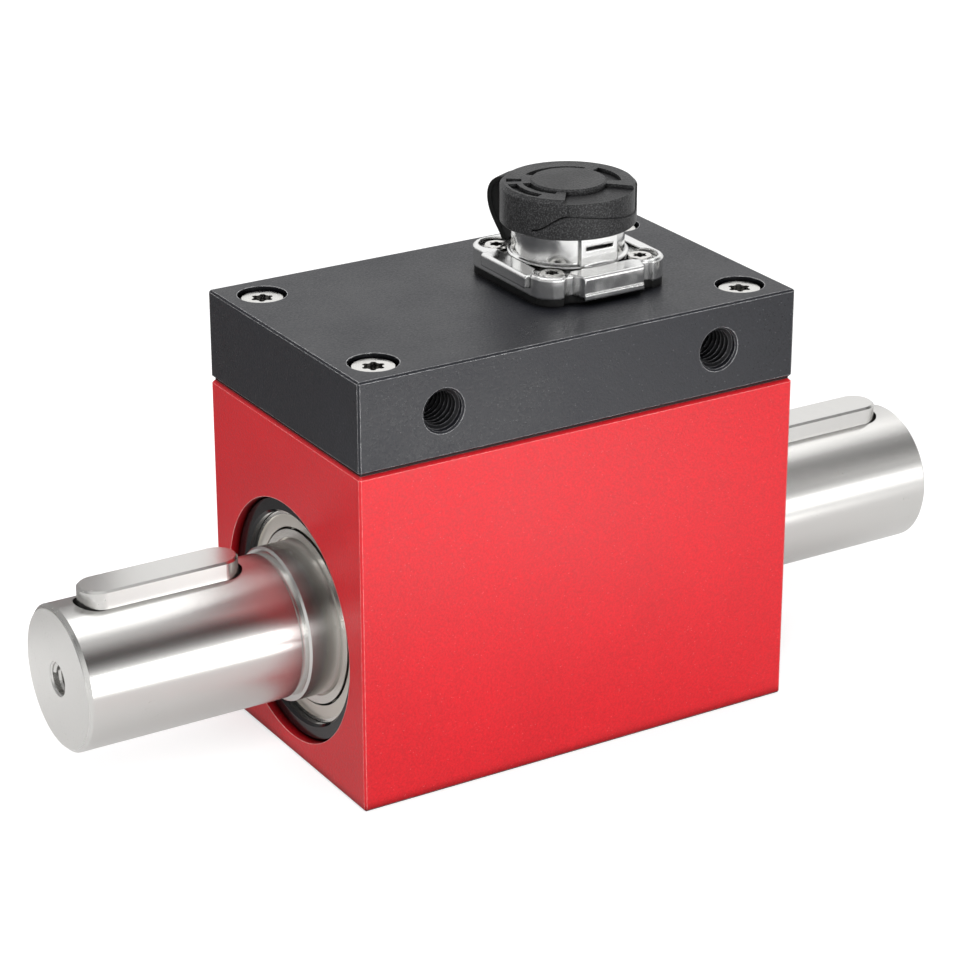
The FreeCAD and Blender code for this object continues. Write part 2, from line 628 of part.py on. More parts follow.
def inner_ring(name, side):
    body = new_body(f"inner_ring_{name}", lift="shaft_height")
    bore = "(seat_radius + fit_gap)"
    section = [
        (BEARING_BACK, "inner_land"),
        (BEARING_BACK, f"{bore} + ring_break"),
        (f"{BEARING_BACK} + ring_break", bore),
        (f"{BEARING_FACE} - ring_break", bore),
        (BEARING_FACE, f"{bore} + ring_break"),
        (BEARING_FACE, "inner_land"),
    ]
    spin(body, "Revolution", polygon(new_sketch(body), facing(side, section)))
    track(body, side)
    return body


def bearing_shields(name, side):
    """Both shields of a bearing: thin plates held in the outer ring."""
    body = new_body(f"shields_{name}", lift="shaft_height")
    section = new_sketch(body)
    near, far = f"{BEARING_FACE} - shield_recess", f"{BEARING_BACK} + shield_recess"
    for start, end in ((near, f"{near} - shield_thickness"), (far, f"{far} + shield_thickness")):
        rectangle(
            section,
            (f"{side} * ({start})", "shield_inside"),
            (f"{side} * ({end})", "outer_land - fit_gap"),
        )
    spin(body, "Revolution", section)
    return body


def ball_cage(name, side):
    """The ring that keeps the balls apart, drilled once for each ball."""
    body = new_body(f"ball_cage_{name}", lift="shaft_height")
    start, end = (f"{BEARING_MIDDLE} {sign} cage_width / 2" for sign in "-+")
    tube(body, start, end, "cage_inside", "cage_outside", side)
    hole = new_sketch(body, "XY_Plane")
    circle(hole, f"{side} * {BEARING_MIDDLE}", "0", "ball_radius + pocket_gap")
    drilled = pocket(body, hole, "cage_outside + overrun", back=True)
    polar(body, drilled, "X_Axis", "ball_count")
    return body


def balls(name, side):
    """One ball, repeated around the shaft."""
    body = new_body(f"balls_{name}", lift="shaft_height")
    section = new_sketch(body)
    middle = Vector(number(f"{side} * {BEARING_MIDDLE}"), number("ball_pitch"), 0)
    radius = number("ball_radius")
    arc = section.addGeometry(
        Part.ArcOfCircle(Part.Circle(middle, Vector(0, 0, 1), radius), 0, math.pi), False
    )
    reach = Vector(radius, 0, 0)
    line = section.addGeometry(Part.LineSegment(middle - reach, middle + reach), False)
    for pair in ((arc, 2, line, 1), (line, 2, arc, 1)):
        section.addConstraint(Sketcher.Constraint("Coincident", *pair))
    section.addConstraint(Sketcher.Constraint("PointOnObject", arc, 3, line))
    section.addConstraint(Sketcher.Constraint("Horizontal", line))
    pin_point(section, arc, 3, f"{side} * {BEARING_MIDDLE}", "ball_pitch")
    rule = section.addConstraint(Sketcher.Constraint("Radius", arc, radius))
    section.setExpression(f"Constraints[{rule}]", bound("ball_radius"))
    ball = spin(body, "Revolution", section, "Edge2")
    polar(body, ball, "X_Axis", "ball_count")
    return body


def shaft():
    """The one-piece shaft: keyed ends, bearing seats, shoulders and a thin middle."""
    body = new_body("shaft", lift="shaft_height")
    half = [
        (SHAFT_END, "journal_radius - shaft_break"),
        (f"{SHAFT_END} - shaft_break", "journal_radius"),
        (f"{SEAT_END} + undercut_width + (journal_radius - undercut_radius)", "journal_radius"),
        (f"{SEAT_END} + undercut_width", "undercut_radius"),
        (SEAT_END, "undercut_radius"),
        (SEAT_END, "seat_radius - edge_break"),
        (f"{SEAT_END} - edge_break", "seat_radius"),
        (BEARING_BACK, "seat_radius"),
        (BEARING_BACK, "shoulder_radius"),
        (SHOULDER_END, "shoulder_radius"),
        (f"{SHOULDER_END} - torsion_fillet", "torsion_radius"),
    ]
    right = facing(RIGHT, half)
    left = facing(LEFT, half)
    outline = [(f"-{SHAFT_END}", "0"), (SHAFT_END, "0")] + right + left[::-1]
    spin(body, "Revolution", polygon(new_sketch(body), outline))
    for side in (LEFT, RIGHT):
        hole = [
            (f"{SHAFT_END} + overrun", "0"),
            (f"{SHAFT_END} + overrun", "centre_radius + centre_break + overrun"),
            (f"{SHAFT_END} - centre_break", "centre_radius"),
            (f"{SHAFT_END} - centre_depth", "centre_radius"),
            (f"{SHAFT_END} - centre_depth - centre_radius / 2", "0"),
        ]
        spin(body, "Groove", polygon(new_sketch(body), facing(side, hole)))
        slot = new_sketch(body, "XY_Plane", "journal_radius")
        pocket(body, keyway_outline(slot, side, "keyway_gap", "keyway_play"), "keyway_depth")
    return body


def keyway_outline(sketch, side, end_gap, side_gap):
    """The round-ended outline of a key, grown by the two gaps."""
    radius = f"(key_width / 2 + {side_gap})"
    outer = f"({KEY_END} + {end_gap} - {radius})"
    inner = f"({KEY_END} - key_length - {end_gap} + {radius})"
    near, far = (inner, outer) if side == RIGHT else (f"(-{outer})", f"(-{inner})")
    low, high, size = number(near), number(far), number(radius)
    up = Vector(0, 0, 1)
    top = sketch.addGeometry(Part.LineSegment(Vector(low, size, 0), Vector(high, size, 0)), False)
    right = sketch.addGeometry(
        Part.ArcOfCircle(Part.Circle(Vector(high, 0, 0), up, size), -math.pi / 2, math.pi / 2), False
    )
    bottom = sketch.addGeometry(Part.LineSegment(Vector(high, -size, 0), Vector(low, -size, 0)), False)
    left = sketch.addGeometry(
        Part.ArcOfCircle(Part.Circle(Vector(low, 0, 0), up, size), math.pi / 2, 3 * math.pi / 2), False
    )
    for pair in ((top, 2, right, 2), (right, 1, bottom, 1), (bottom, 2, left, 2), (left, 1, top, 1)):
        sketch.addConstraint(Sketcher.Constraint("Tangent", *pair))
    sketch.addConstraint(Sketcher.Constraint("Equal", left, right))
    pin_point(sketch, right, 3, far, "0")
    pin_point(sketch, left, 3, near, "0")
    rule = sketch.addConstraint(Sketcher.Constraint("Radius", right, size))
    sketch.setExpression(f"Constraints[{rule}]", bound(radius))
    return sketch


def shaft_key(name, side):
    """A parallel key with round ends, seated on the floor of its keyway."""
    body = new_body(f"key_{name}", lift="shaft_height")
    floor = "journal_radius - keyway_depth"
    pad(body, keyway_outline(new_sketch(body, "XY_Plane", floor), side, "0", "0"), "key_height")
    low, high = number(floor), number(f"{floor} + key_height")
    bevel(body, "key_break", lambda edge: lies_at(edge, "Z", low) or lies_at(edge, "Z", high))
    return body


def coil_former(label, inside, rim):
    """A bobbin about the shaft: a thin wall with a flange at each end."""
    body = new_body(label, lift="shaft_height")
    section = [
        (COIL_START, inside),
        (COIL_START, rim),
        (f"{COIL_START} + coil_flange", rim),
        (f"{COIL_START} + coil_flange", f"{inside} + coil_wall"),
        (f"{COIL_END} - coil_flange", f"{inside} + coil_wall"),
        (f"{COIL_END} - coil_flange", rim),
        (COIL_END, rim),
        (COIL_END, inside),
    ]
    spin(body, "Revolution", polygon(new_sketch(body), section))
    return body


def winding(label, near, far):
    """The copper turns between a former's flanges, as one solid ring."""
    body = new_body(label, lift="shaft_height")
    start, end = f"{COIL_START} + coil_flange + fit_gap", f"{COIL_END} - coil_flange - fit_gap"
    tube(body, start, end, near, far)
    return body


def speed_disc():
    """A toothed disc on the left shoulder."""
    body = new_body("speed_disc", lift="shaft_height")
    low, high = (f"-{DISC_PLACE} {sign} disc_thickness / 2" for sign in "-+")
    tube(body, low, high, "shoulder_radius + fit_gap", "disc_radius")
    gap = new_sketch(body, "YZ_Plane", low)
    half = f"disc_radius * {math.tan(math.radians(90 / number('tooth_count'))):.6f}"
    rectangle(gap, (f"-{half}", "disc_radius - tooth_height"), (half, "disc_radius + overrun"))
    cut = pocket(body, gap, "disc_thickness", back=True)
    polar(body, cut, "X_Axis", "tooth_count")
    return body


def strain_gauges():
    """Four thin patches bonded round the measuring section, a quarter turn apart."""
    body = new_body("strain_gauges", lift="shaft_height")
    section = new_sketch(body)
    rectangle(
        section,
        ("-gauge_length / 2", "torsion_radius"),
        ("gauge_length / 2", "torsion_radius + gauge_thickness"),
    )
    patch = spin(body, "Revolution", section)
    patch.setExpression("Angle", bound("gauge_angle"))
    patch.Midplane = True
    doc.recompute()
    polar(body, patch, "X_Axis", "4")
    return body


def speed_pickup():
    """The sensor that reads the toothed disc, dropped in from the electronics space."""
    body = new_body("speed_pickup", f"-{DISC_PLACE}")
    tip = "(shaft_height + disc_radius + pickup_air)"
    stem = circle(new_sketch(body, "XY_Plane", tip), "0", "0", "pickup_radius")
    pad(body, stem, f"block_height - {tip}")
    head = circle(new_sketch(body, "XY_Plane", "block_height"), "0", "0", "pickup_head")
    pad(body, head, "pickup_flange")
    return body


def coil_leads():
    """The two leads that rise from the stator coil to the board."""
    body = new_body("coil_leads", f"{COIL_END} - coil_length / 2")
    start = "shaft_height + core_radius"
    places = [("0", f"{i} * wire_spacing / 2") for i in (-1, 1)]
    wires = circles(new_sketch(body, "XY_Plane", start), places, "wire_radius")
    pad(body, wires, f"{BOARD_BASE} - ({start})")
    return body


def circuit_board():
    body = new_body("circuit_board", lift=BOARD_BASE)
    base = new_sketch(body, "XY_Plane")
    rectangle(base, (f"-{BOARD_X}", f"-{BOARD_Y}"), (BOARD_X, BOARD_Y))
    circles(base, board_screw_places(), "board_screw_radius + screw_play / 2")
    pad(body, base, "board_thickness")
    return body


def board_parts():
    """The largest parts on the board: a processor, an amplifier and a crystal."""
    body = new_body("board_parts", lift=BOARD_TOP)
    layout = new_sketch(body, "XY_Plane")
    places = (
        ("chip_x", "0", "chip_size", "chip_size"),
        ("amplifier_x", "amplifier_y", "amplifier_length", "amplifier_width"),
        ("crystal_x", "0", "crystal_length", "crystal_width"),
    )
    for across, up, length, width in places:
        low = (f"{across} - {length} / 2", f"{up} - {width} / 2")
        rectangle(layout, low, (f"{across} + {length} / 2", f"{up} + {width} / 2"))
    pad(body, layout, "part_height")
    return body


def standoffs():
    body = new_body("board_standoffs", lift="block_height")
    base = new_sketch(body, "XY_Plane")
    places = board_screw_places()
    circles(base, places, "standoff_radius")
    circles(base, places, "board_screw_radius + fit_gap")
    pad(body, base, "standoff_height")
    return body


def flange_outline(body, level, thickness, inset):
    """A square plate whose corners are round about the screws, hollowed beside its front panel."""
    edge = f"(flange_screw + lobe_radius - {inset})"
    plate = new_sketch(body, "XY_Plane", level)
    rectangle(plate, (f"-{edge}", "-flange_screw"), (edge, "flange_screw"))
    pad(body, plate, thickness)
    across = new_sketch(body, "XY_Plane", level)
    rectangle(across, ("-flange_screw", f"-{edge}"), ("flange_screw", edge))
    pad(body, across, thickness)
    places = corners("flange_screw", "flange_screw")
    lobes = circles(new_sketch(body, "XY_Plane", level), places, f"lobe_radius - {inset}")
    pad(body, lobes, thickness)
    away = f"({edge} - neck_depth + neck_round)"
    hollows = [("-neck_place", f"-{away}"), ("neck_place", f"-{away}")]
    necks = circles(new_sketch(body, "XY_Plane", level), hollows, "neck_round")
    pocket(body, necks, thickness, back=True)


def connector_pad():
    """The rubber pad under the flange: it follows the flange's outline."""
    body = new_body("connector_pad", CONNECTOR_X, COVER_TOP)
    flange_outline(body, "0", "pad_thickness", "pad_inset")
    holes = new_sketch(body, "XY_Plane")
    circle(holes, "0", "0", "tail_radius + screw_play")
    circles(holes, corners("flange_screw", "flange_screw"), "flange_thread + screw_play")
    pocket(body, holes, "pad_thickness", back=True)
    return body


def connector_flange():
    """The cast square flange: round corners, a front panel, a bar at the left and a sunk floor."""
    body = new_body("connector_flange", CONNECTOR_X, COVER_TOP)
    height = "flange_top - pad_thickness"
    flange_outline(body, "pad_thickness", height, "0")
    top, front, left = number("flange_top"), -number("panel_reach"), -number("bar_reach")
    bevel(body, "lobe_break", lambda edge: lies_at(edge, "Z", top))
    panel = [
        ("-panel_foot", "-flange_screw"),
        ("-panel_foot", "-panel_root"),
        ("-panel_half", "-panel_reach"),
        ("panel_half", "-panel_reach"),
        ("panel_foot", "-panel_root"),
        ("panel_foot", "-flange_screw"),
    ]
    pad(body, polygon(new_sketch(body, "XY_Plane", "pad_thickness"), panel), height)
    bar = new_sketch(body, "XY_Plane", "flange_top")
    rectangle(bar, ("-bar_reach", "-bar_front"), ("-flange_screw", "bar_back"))
    pad(body, bar, f"{height} - bar_lift", back=True)
    bevel(
        body, "lobe_break",
        lambda edge: lies_at(edge, "Z", top) and (lies_at(edge, "Y", front) or lies_at(edge, "X", left)),
    )
    skirt = new_sketch(body, "XY_Plane", "pad_thickness - skirt_depth")
    face = "(panel_reach + skirt_lip)"
    rectangle(skirt, ("-panel_half", f"-{face}"), ("panel_half", f"-({face} - skirt_thickness)"))
    pad(body, skirt, "skirt_height")
    places = corners("flange_screw", "flange_screw")
    sunk = new_sketch(body, "XY_Plane", "flange_top")
    rectangle(sunk, ("-floor_half", "-floor_half"), ("floor_half", "floor_half"))
    pocket(body, sunk, "floor_depth")
    bays = circles(new_sketch(body, "XY_Plane", "flange_top"), places, "floor_lobe")
    pocket(body, bays, "floor_depth")
    holes = new_sketch(body, "XY_Plane", "flange_top")
    circles(holes, places, "flange_thread + screw_play")
    circle(holes, "0", "0", "groove_radius + fit_gap")
    pocket(body, holes, "flange_top")
    sinks = new_sketch(body, "XY_Plane", "flange_top")
    circles(sinks, places, "flange_head_radius + screw_play / 2")
    pocket(body, sinks, f"flange_top - {FLANGE_SEAT}")
    return body


def connector_housing():
    """The turned receptacle: a tail, a foot ring, a polished neck and a hollow barrel."""
    body = new_body("connector_housing", CONNECTOR_X, COVER_TOP)
    flare = f"({FLANGE_FLOOR} + groove_height)"
    neck = [
        ("tail_bore", "-tail_length"),
        ("tail_radius", "-tail_length"),
        ("tail_radius", "pad_thickness"),
        ("groove_radius", "pad_thickness"),
        ("groove_radius", flare),
        ("flare_radius - flare_break", flare),
        ("flare_radius", f"{flare} + flare_break"),
        ("flare_radius", f"{flare} + flare_height"),
        ("neck_radius", f"{flare} + flare_height + (flare_radius - neck_radius) / 2"),
        ("neck_radius", "neck_top"),
        ("barrel_radius", "neck_top + (neck_radius - barrel_radius)"),
        ("barrel_radius", "barrel_top - barrel_break"),
        ("barrel_radius - barrel_break", "barrel_top"),
        ("barrel_bore", "barrel_top"),
        ("barrel_bore", "insert_face - insert_rim"),
        ("tail_bore", "insert_face - insert_rim"),
    ]
    spin(body, "Revolution", polygon(new_sketch(body), neck), "V_Axis")
    key = new_sketch(body, "XY_Plane", flare)
    rectangle(key, ("-flat_width / 2", "-flat_reach"), ("flat_width / 2", "-groove_radius + barrel_break"))
    pad(body, key, f"cap_bottom - cap_sink - {flare}")
    bore = circle(new_sketch(body, "XY_Plane", "insert_face - insert_rim"), "0", "0", "tail_bore")
    pocket(body, bore, "insert_face + tail_length")
    slot = new_sketch(body, "XZ_Plane", "flat_reach")
    low = ("-slot_width / 2", "slot_place - slot_height / 2")
    rectangle(slot, low, ("slot_width / 2", "slot_place + slot_height / 2"))
    pocket(body, slot, "flat_reach - barrel_bore + overrun")
    seal = circle(new_sketch(body), SEAL_CIRCLE, "seal_place", "seal_radius + fit_gap")
    spin(body, "Groove", seal, "V_Axis")
    return body


def barrel_seal():
    """The sealing ring in the barrel's groove."""
    body = new_body("barrel_seal", CONNECTOR_X, COVER_TOP)
    section = circle(new_sketch(body), SEAL_CIRCLE, "seal_place", "seal_radius")
    spin(body, "Revolution", section, "V_Axis")
    return body


def contact_places():
    """The centres of the contacts, on two circles."""
    rings = (("outer_contacts", "outer_circle"), ("inner_contacts", "inner_circle"))
    for count, radius in rings:
        total = round(number(count))
        for index in range(total):
            turn = 2 * math.pi * index / total
            yield f"{math.cos(turn):.6f} * {radius}", f"{math.sin(turn):.6f} * {radius}"


def connector_insert():
    """The plastic contact carrier, stepped so that it seats inside the barrel."""
    body = new_body("connector_insert", CONNECTOR_X, COVER_TOP)
    section = [
        ("0", "-tail_length + insert_tail"),
        ("tail_bore - fit_gap", "-tail_length + insert_tail"),
        ("tail_bore - fit_gap", "insert_face - insert_rim"),
        ("barrel_bore - fit_gap", "insert_face - insert_rim"),
        ("barrel_bore - fit_gap", "insert_face - insert_break"),
        ("barrel_bore - fit_gap - insert_break", "insert_face"),
        ("0", "insert_face"),
    ]
    spin(body, "Revolution", polygon(new_sketch(body), section), "V_Axis")
    holes = new_sketch(body, "XY_Plane", "insert_face")
    circles(holes, contact_places(), "contact_radius + fit_gap")
    pocket(body, holes, "insert_face + tail_length")
    return body


def connector_contacts():
    """The contacts: sockets at the front and thin pins down to the board."""
    body = new_body("connector_contacts", CONNECTOR_X, COVER_TOP)
    places = list(contact_places())
    face = "(insert_face - contact_recess)"
    sleeves = circles(new_sketch(body, "XY_Plane", face), places, "contact_radius")
    pad(body, sleeves, f"{face} + tail_length", back=True)
    pin = circles(new_sketch(body, "XY_Plane", "-tail_length"), places, "tail_pin")
    pad(body, pin, f"{COVER_TOP} - tail_length - {BOARD_TOP}", back=True)
    pocket(body, circles(new_sketch(body, "XY_Plane", face), places, "contact_hole"), "contact_depth")
    return body


def cap_liner():
    """The soft sealing disc between the barrel and the cap."""
    body = new_body("cap_liner", CONNECTOR_X, COVER_TOP)
    disc = circle(new_sketch(body, "XY_Plane", "barrel_top"), "0", "0", "cap_bore - liner_gap")
    pad(body, disc, "liner_thickness")
    return body


def sector(sketch, inside, outside, start, span):
    """A piece of a ring about the sketch's origin, between two angles in degrees."""
    up = Vector(0, 0, 1)
    first, last = math.radians(number(start)), math.radians(number(f"{start} + {span}"))
    arcs = [
        sketch.addGeometry(
            Part.ArcOfCircle(Part.Circle(Vector(0, 0, 0), up, number(radius)), first, last), False
        )
        for radius in (inside, outside)
    ]
    for arc, radius in zip(arcs, (inside, outside)):
        sketch.addConstraint(Sketcher.Constraint("Coincident", arc, 3, -1, 1))
        rule = sketch.addConstraint(Sketcher.Constraint("Radius", arc, number(radius)))
        sketch.setExpression(f"Constraints[{rule}]", bound(radius))
    for end, angle, text in ((1, first, start), (2, last, f"{start} + {span}")):
        way = Vector(math.cos(angle), math.sin(angle), 0)
        line = sketch.addGeometry(Part.LineSegment(way * number(inside), way * number(outside)), False)
        for point, arc in zip((1, 2), arcs):
            sketch.addConstraint(Sketcher.Constraint("Coincident", line, point, arc, end))
        sketch.addConstraint(Sketcher.Constraint("PointOnObject", -1, 1, line))
        rule = sketch.addConstraint(Sketcher.Constraint("Angle", line, angle))
        sketch.setExpression(f"Constraints[{rule}]", f"({bound(text)}) * 1 deg")
    return sketch


def cap_relief():
    """The space cut from the cap's side: above a curved line and right of an upright step."""
    body = new_body("cap_relief")
    body.Placement.Rotation = FreeCAD.Rotation(Vector(0, 0, 1), number("relief_turn"))
    body.setExpression("Placement.Rotation.Angle", bound("relief_turn") + " * 1 deg")
    rise = [
        (f"relief_start + {share} * (relief_step - relief_start)", share ** 2 * (3 - 2 * share))
        for share in (0, 0.15, 0.3, 0.45, 0.6, 0.8, 1)
    ]
    height = "(relief_top - relief_low)"
    lower = [(across, f"relief_low + {part:.4f} * {height}") for across, part in rise]
    upper = [(across, f"relief_low + {part:.4f} * {height} + relief_groove") for across, part in rise]
    fall = [
        (
            f"relief_step + {share} * (cap_radius + overrun - relief_step)",
            f"relief_top - {share ** 1.6:.4f} * (relief_top - relief_end)",
        )
        for share in (0.2, 0.4, 0.6, 0.8, 1)
    ]
    above = "cap_top + overrun"
    outline = lower + fall + [("cap_radius + overrun", above), ("relief_step", above)] + upper[::-1]
    pad(body, polygon(new_sketch(body), outline), "cap_radius + overrun")
    core = new_sketch(body)
    rectangle(core, ("0", "cap_bottom"), ("cap_radius - relief_depth", f"{above} + overrun"))
    spin(body, "Groove", core, "V_Axis")
    return body


def protective_cap():
    """The moulded cap: a stepped skirt, a raised disc and curved hollows round it."""
    body = new_body("protective_cap", CONNECTOR_X, COVER_TOP)
    ceiling = "(barrel_top + liner_thickness)"
    section = [
        ("0", ceiling),
        ("cap_bore", ceiling),
        ("cap_bore", "cap_bottom"),
        ("cap_radius - cap_rim_break", "cap_bottom"),
        ("cap_radius", "cap_bottom + cap_rim_break"),
        ("cap_radius", "cap_top - cap_break"),
        ("cap_radius - cap_break", "cap_top"),
        ("disc_top_radius", "cap_top"),
        ("disc_top_radius - disc_top_break", "cap_top + disc_top_height"),
        ("0", "cap_top + disc_top_height"),
    ]
    spin(body, "Revolution", polygon(new_sketch(body), section), "V_Axis")
    hollows = (
        ("disc_top_radius", "inner_hollow", "crescent_start", "inner_span", "hollow_depth"),
        ("outer_hollow", "hollow_rim", "crescent_start", "outer_span", "hollow_depth"),
        ("inner_hollow", "hollow_rim", "notch_start", "notch_span", "hollow_depth"),
        ("disc_top_radius", "cap_radius + overrun", "open_start", "open_span", "open_depth"),
        ("disc_top_radius", "inner_hollow", "back_start", "back_span", "hollow_depth"),
        ("disc_top_radius", "outer_hollow", "side_start", "side_span", "hollow_depth"),
    )
    for inside, outside, start, span, depth in hollows:
        outline = new_sketch(body, "XY_Plane", "cap_top")
        pocket(body, sector(outline, inside, outside, start, span), depth)
    relief = body.newObject("PartDesign::Boolean", "Boolean")
    relief.setObjects([cap_relief()])
    relief.Type = "Cut"
    doc.recompute()
    return body


def cap_strap():
    """The flexible strap: a bent band from the flange up to the cap's side."""
    body = new_body("cap_strap", CONNECTOR_X, COVER_TOP)
    body.Placement.Rotation = FreeCAD.Rotation(Vector(0, 0, 1), number("strap_angle"))
    body.setExpression("Placement.Rotation.Angle", bound("strap_angle") + " * 1 deg")
    half, out = "strap_thickness / 2", "strap_bulge"
    inner = f"{out} - strap_thickness"
    side = "(cap_radius + strap_gap)"
    waist = "flange_top + strap_waist"
    band = [
        (side, f"strap_level + {half}"),
        (f"{out} - strap_bend", f"strap_level + {half}"),
        (out, f"strap_level + {half} - strap_bend"),
        (out, waist),
        (f"strap_foot + {half}", "flange_top"),
        (f"strap_foot - {half}", "flange_top"),
        (inner, waist),
        (inner, f"strap_level - {half} - strap_bend / 2"),
        (f"{inner} - strap_bend / 2", f"strap_level - {half}"),
        (side, f"strap_level - {half}"),
    ]
    pad(body, polygon(new_sketch(body), band), "strap_width", both=True)
    return body


def build_all():
    """Every sub-part, in the order of assembly."""
    flange_places = corners("flange_screw", "flange_screw")
    parts = [
        housing_block(),
        cover_gasket(),
        top_cover(),
        screw_set(
            "cover_screws", cover_screw_places(), HEAD_SEAT, "head_radius", "head_height",
            "screw_radius", "screw_length", ("socket_radius", "socket_lobe", "socket_depth"),
        ),
        shaft(),
        coil_former("stator_former", "stator_inside", "(core_radius - fit_gap)"),
        winding("stator_winding", "stator_inside + coil_wall + fit_gap", "core_radius - coil_gap"),
        coil_former("rotor_former", "(shoulder_radius + fit_gap)", "rotor_outside"),
        winding("rotor_winding", "shoulder_radius + coil_wall + 2 * fit_gap", "rotor_outside - coil_gap"),
        speed_disc(),
        speed_pickup(),
        strain_gauges(),
        coil_leads(),
        standoffs(),
        circuit_board(),
        board_parts(),
        screw_set(
            "board_screws", board_screw_places(), BOARD_TOP, "board_head_radius", "board_head_height",
            "board_screw_radius", "board_screw_length",
        ),
        connector_pad(),
        connector_flange(),
        connector_housing(),
        barrel_seal(),
        connector_insert(),
        connector_contacts(),
        screw_set(
            "flange_screws", flange_places, FLANGE_SEAT, "flange_head_radius", "flange_head_height",
            "flange_thread", "flange_length",
            ("flange_socket_radius", "flange_socket_lobe", "flange_socket_depth"),
            COVER_TOP, CONNECTOR_X,
        ),
        cap_liner(),
        protective_cap(),
        cap_strap(),
    ]
    for name, side in SIDES.items():
        makers = (
            bearing_carrier, retaining_ring, outer_ring, inner_ring, bearing_shields,
            ball_cage, balls, shaft_key,
        )
        parts += [make(name, side) for make in makers]
    return parts


def check(parts):
    """Stops if any object failed or any sub-part isn't a sound solid."""
    broken = [
        f"{item.Name} in {', '.join(owner.Label for owner in item.InList)}: {item.State}"
        for item in doc.Objects
        if {"Invalid", "Error"} & set(item.State)
    ]
    broken += [
        f"{part.Label} isn't a sound solid"
        for part in parts
        if part.Shape.isNull() or not part.Shape.isValid() or not part.Shape.Solids
    ]
    if broken:
        raise RuntimeError("\n".join(broken))


sub_parts = build_all()
doc.recompute()
check(sub_parts)
os.makedirs("parts", exist_ok=True)
for part in sub_parts:
    part.Shape.exportStep(os.path.join("parts", f"{part.Label}.step"))
    box = part.Shape.BoundBox
    print(
        f"{part.Label:24s} solids {len(part.Shape.Solids):3d}  volume {part.Shape.Volume:10.1f}"
        f"  x {box.XMin:7.2f} {box.XMax:7.2f}  y {box.YMin:7.2f} {box.YMax:7.2f}"
        f"  z {box.ZMin:7.2f} {box.ZMax:7.2f}"
    )
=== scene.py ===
import json
import math

import bpy
from mathutils import Matrix, Vector


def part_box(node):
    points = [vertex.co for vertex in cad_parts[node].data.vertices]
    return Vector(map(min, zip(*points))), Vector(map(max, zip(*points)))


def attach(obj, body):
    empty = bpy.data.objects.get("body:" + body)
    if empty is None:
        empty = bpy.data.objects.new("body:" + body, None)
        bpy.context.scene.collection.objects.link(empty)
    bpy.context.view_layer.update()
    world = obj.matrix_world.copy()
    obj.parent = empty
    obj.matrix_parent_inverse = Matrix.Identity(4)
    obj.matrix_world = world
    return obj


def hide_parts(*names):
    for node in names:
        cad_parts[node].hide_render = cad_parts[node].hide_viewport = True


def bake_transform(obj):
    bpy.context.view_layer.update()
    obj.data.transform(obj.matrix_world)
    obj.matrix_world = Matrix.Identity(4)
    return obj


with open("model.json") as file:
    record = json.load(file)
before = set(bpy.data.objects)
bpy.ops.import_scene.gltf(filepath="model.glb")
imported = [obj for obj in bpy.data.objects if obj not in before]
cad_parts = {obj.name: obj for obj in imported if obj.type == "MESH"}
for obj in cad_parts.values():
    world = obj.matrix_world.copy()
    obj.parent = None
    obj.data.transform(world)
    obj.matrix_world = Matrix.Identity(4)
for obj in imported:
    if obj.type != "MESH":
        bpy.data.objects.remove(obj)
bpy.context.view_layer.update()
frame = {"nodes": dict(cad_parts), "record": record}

MM = 0.001

# Places taken from the solids, in metres
shaft_low, shaft_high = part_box("shaft")
cover_low, cover_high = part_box("top_cover")
cap_low, cap_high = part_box("protective_cap")

SHAFT_END = shaft_high.x
COVER_TOP = cover_high.z
CONNECTOR_X = (cap_low.x + cap_high.x) / 2

# The height of the shaft's axis, and how far out its bearing seats reach
SHAFT_Z = 27.7 * MM
SEAT_END = 50.7 * MM


# Nodes that the groups and the finishes are built from

def link(tree, value, socket):
    tree.links.new(value, socket)


def feed(tree, value, socket):
    """Gives a socket a plain number, or links another socket to it."""
    if isinstance(value, (int, float)):
        socket.default_value = value
    else:
        link(tree, value, socket)


def math_node(tree, operation, first, second=None):
    """A Math node fed by sockets or plain numbers."""
    node = tree.nodes.new("ShaderNodeMath")
    node.operation = operation
    feed(tree, first, node.inputs[0])
    if second is not None:
        feed(tree, second, node.inputs[1])
    return node.outputs[0]


def span(tree, value, low, high, out_low, out_high):
    """A Map Range node, clamped."""
    node = tree.nodes.new("ShaderNodeMapRange")
    link(tree, value, node.inputs["Value"])
    feed(tree, low, node.inputs["From Min"])
    feed(tree, high, node.inputs["From Max"])
    feed(tree, out_low, node.inputs["To Min"])
    feed(tree, out_high, node.inputs["To Max"])
    return node.outputs["Result"]


def noise(tree, place, scale, detail=2.0, roughness=0.5):
    """The grey value of a noise; the scale counts its cells in a metre."""
    node = tree.nodes.new("ShaderNodeTexNoise")
    link(tree, place, node.inputs["Vector"])
    feed(tree, scale, node.inputs["Scale"])
    node.inputs["Detail"].default_value = detail
    node.inputs["Roughness"].default_value = roughness
    return node.outputs["Fac"]


def bump(tree, height, strength, distance, base=None):
    """The normal that a height gives, on top of a base normal where there is one."""
    node = tree.nodes.new("ShaderNodeBump")
    node.inputs["Distance"].default_value = distance
    feed(tree, strength, node.inputs["Strength"])
    link(tree, height, node.inputs["Height"])
    if base is not None:
        link(tree, base, node.inputs["Normal"])
    return node.outputs["Normal"]


def object_place(tree):
    return tree.nodes.new("ShaderNodeTexCoord").outputs["Object"]


def split_place(tree):
    """The X, Y and Z of the place on the object."""
    split = tree.nodes.new("ShaderNodeSeparateXYZ")
    link(tree, object_place(tree), split.inputs[0])
    return split.outputs


def blend_colour(tree, mask, first, second):
    """A colour mix whose inputs are sockets or plain colours."""
    node = tree.nodes.new("ShaderNodeMix")
    node.data_type = "RGBA"
    for index, value in ((0, mask), (6, first), (7, second)):
        if isinstance(value, tuple):
            node.inputs[index].default_value = (*value, 1.0)
        else:
            feed(tree, value, node.inputs[index])
    return node.outputs[2]


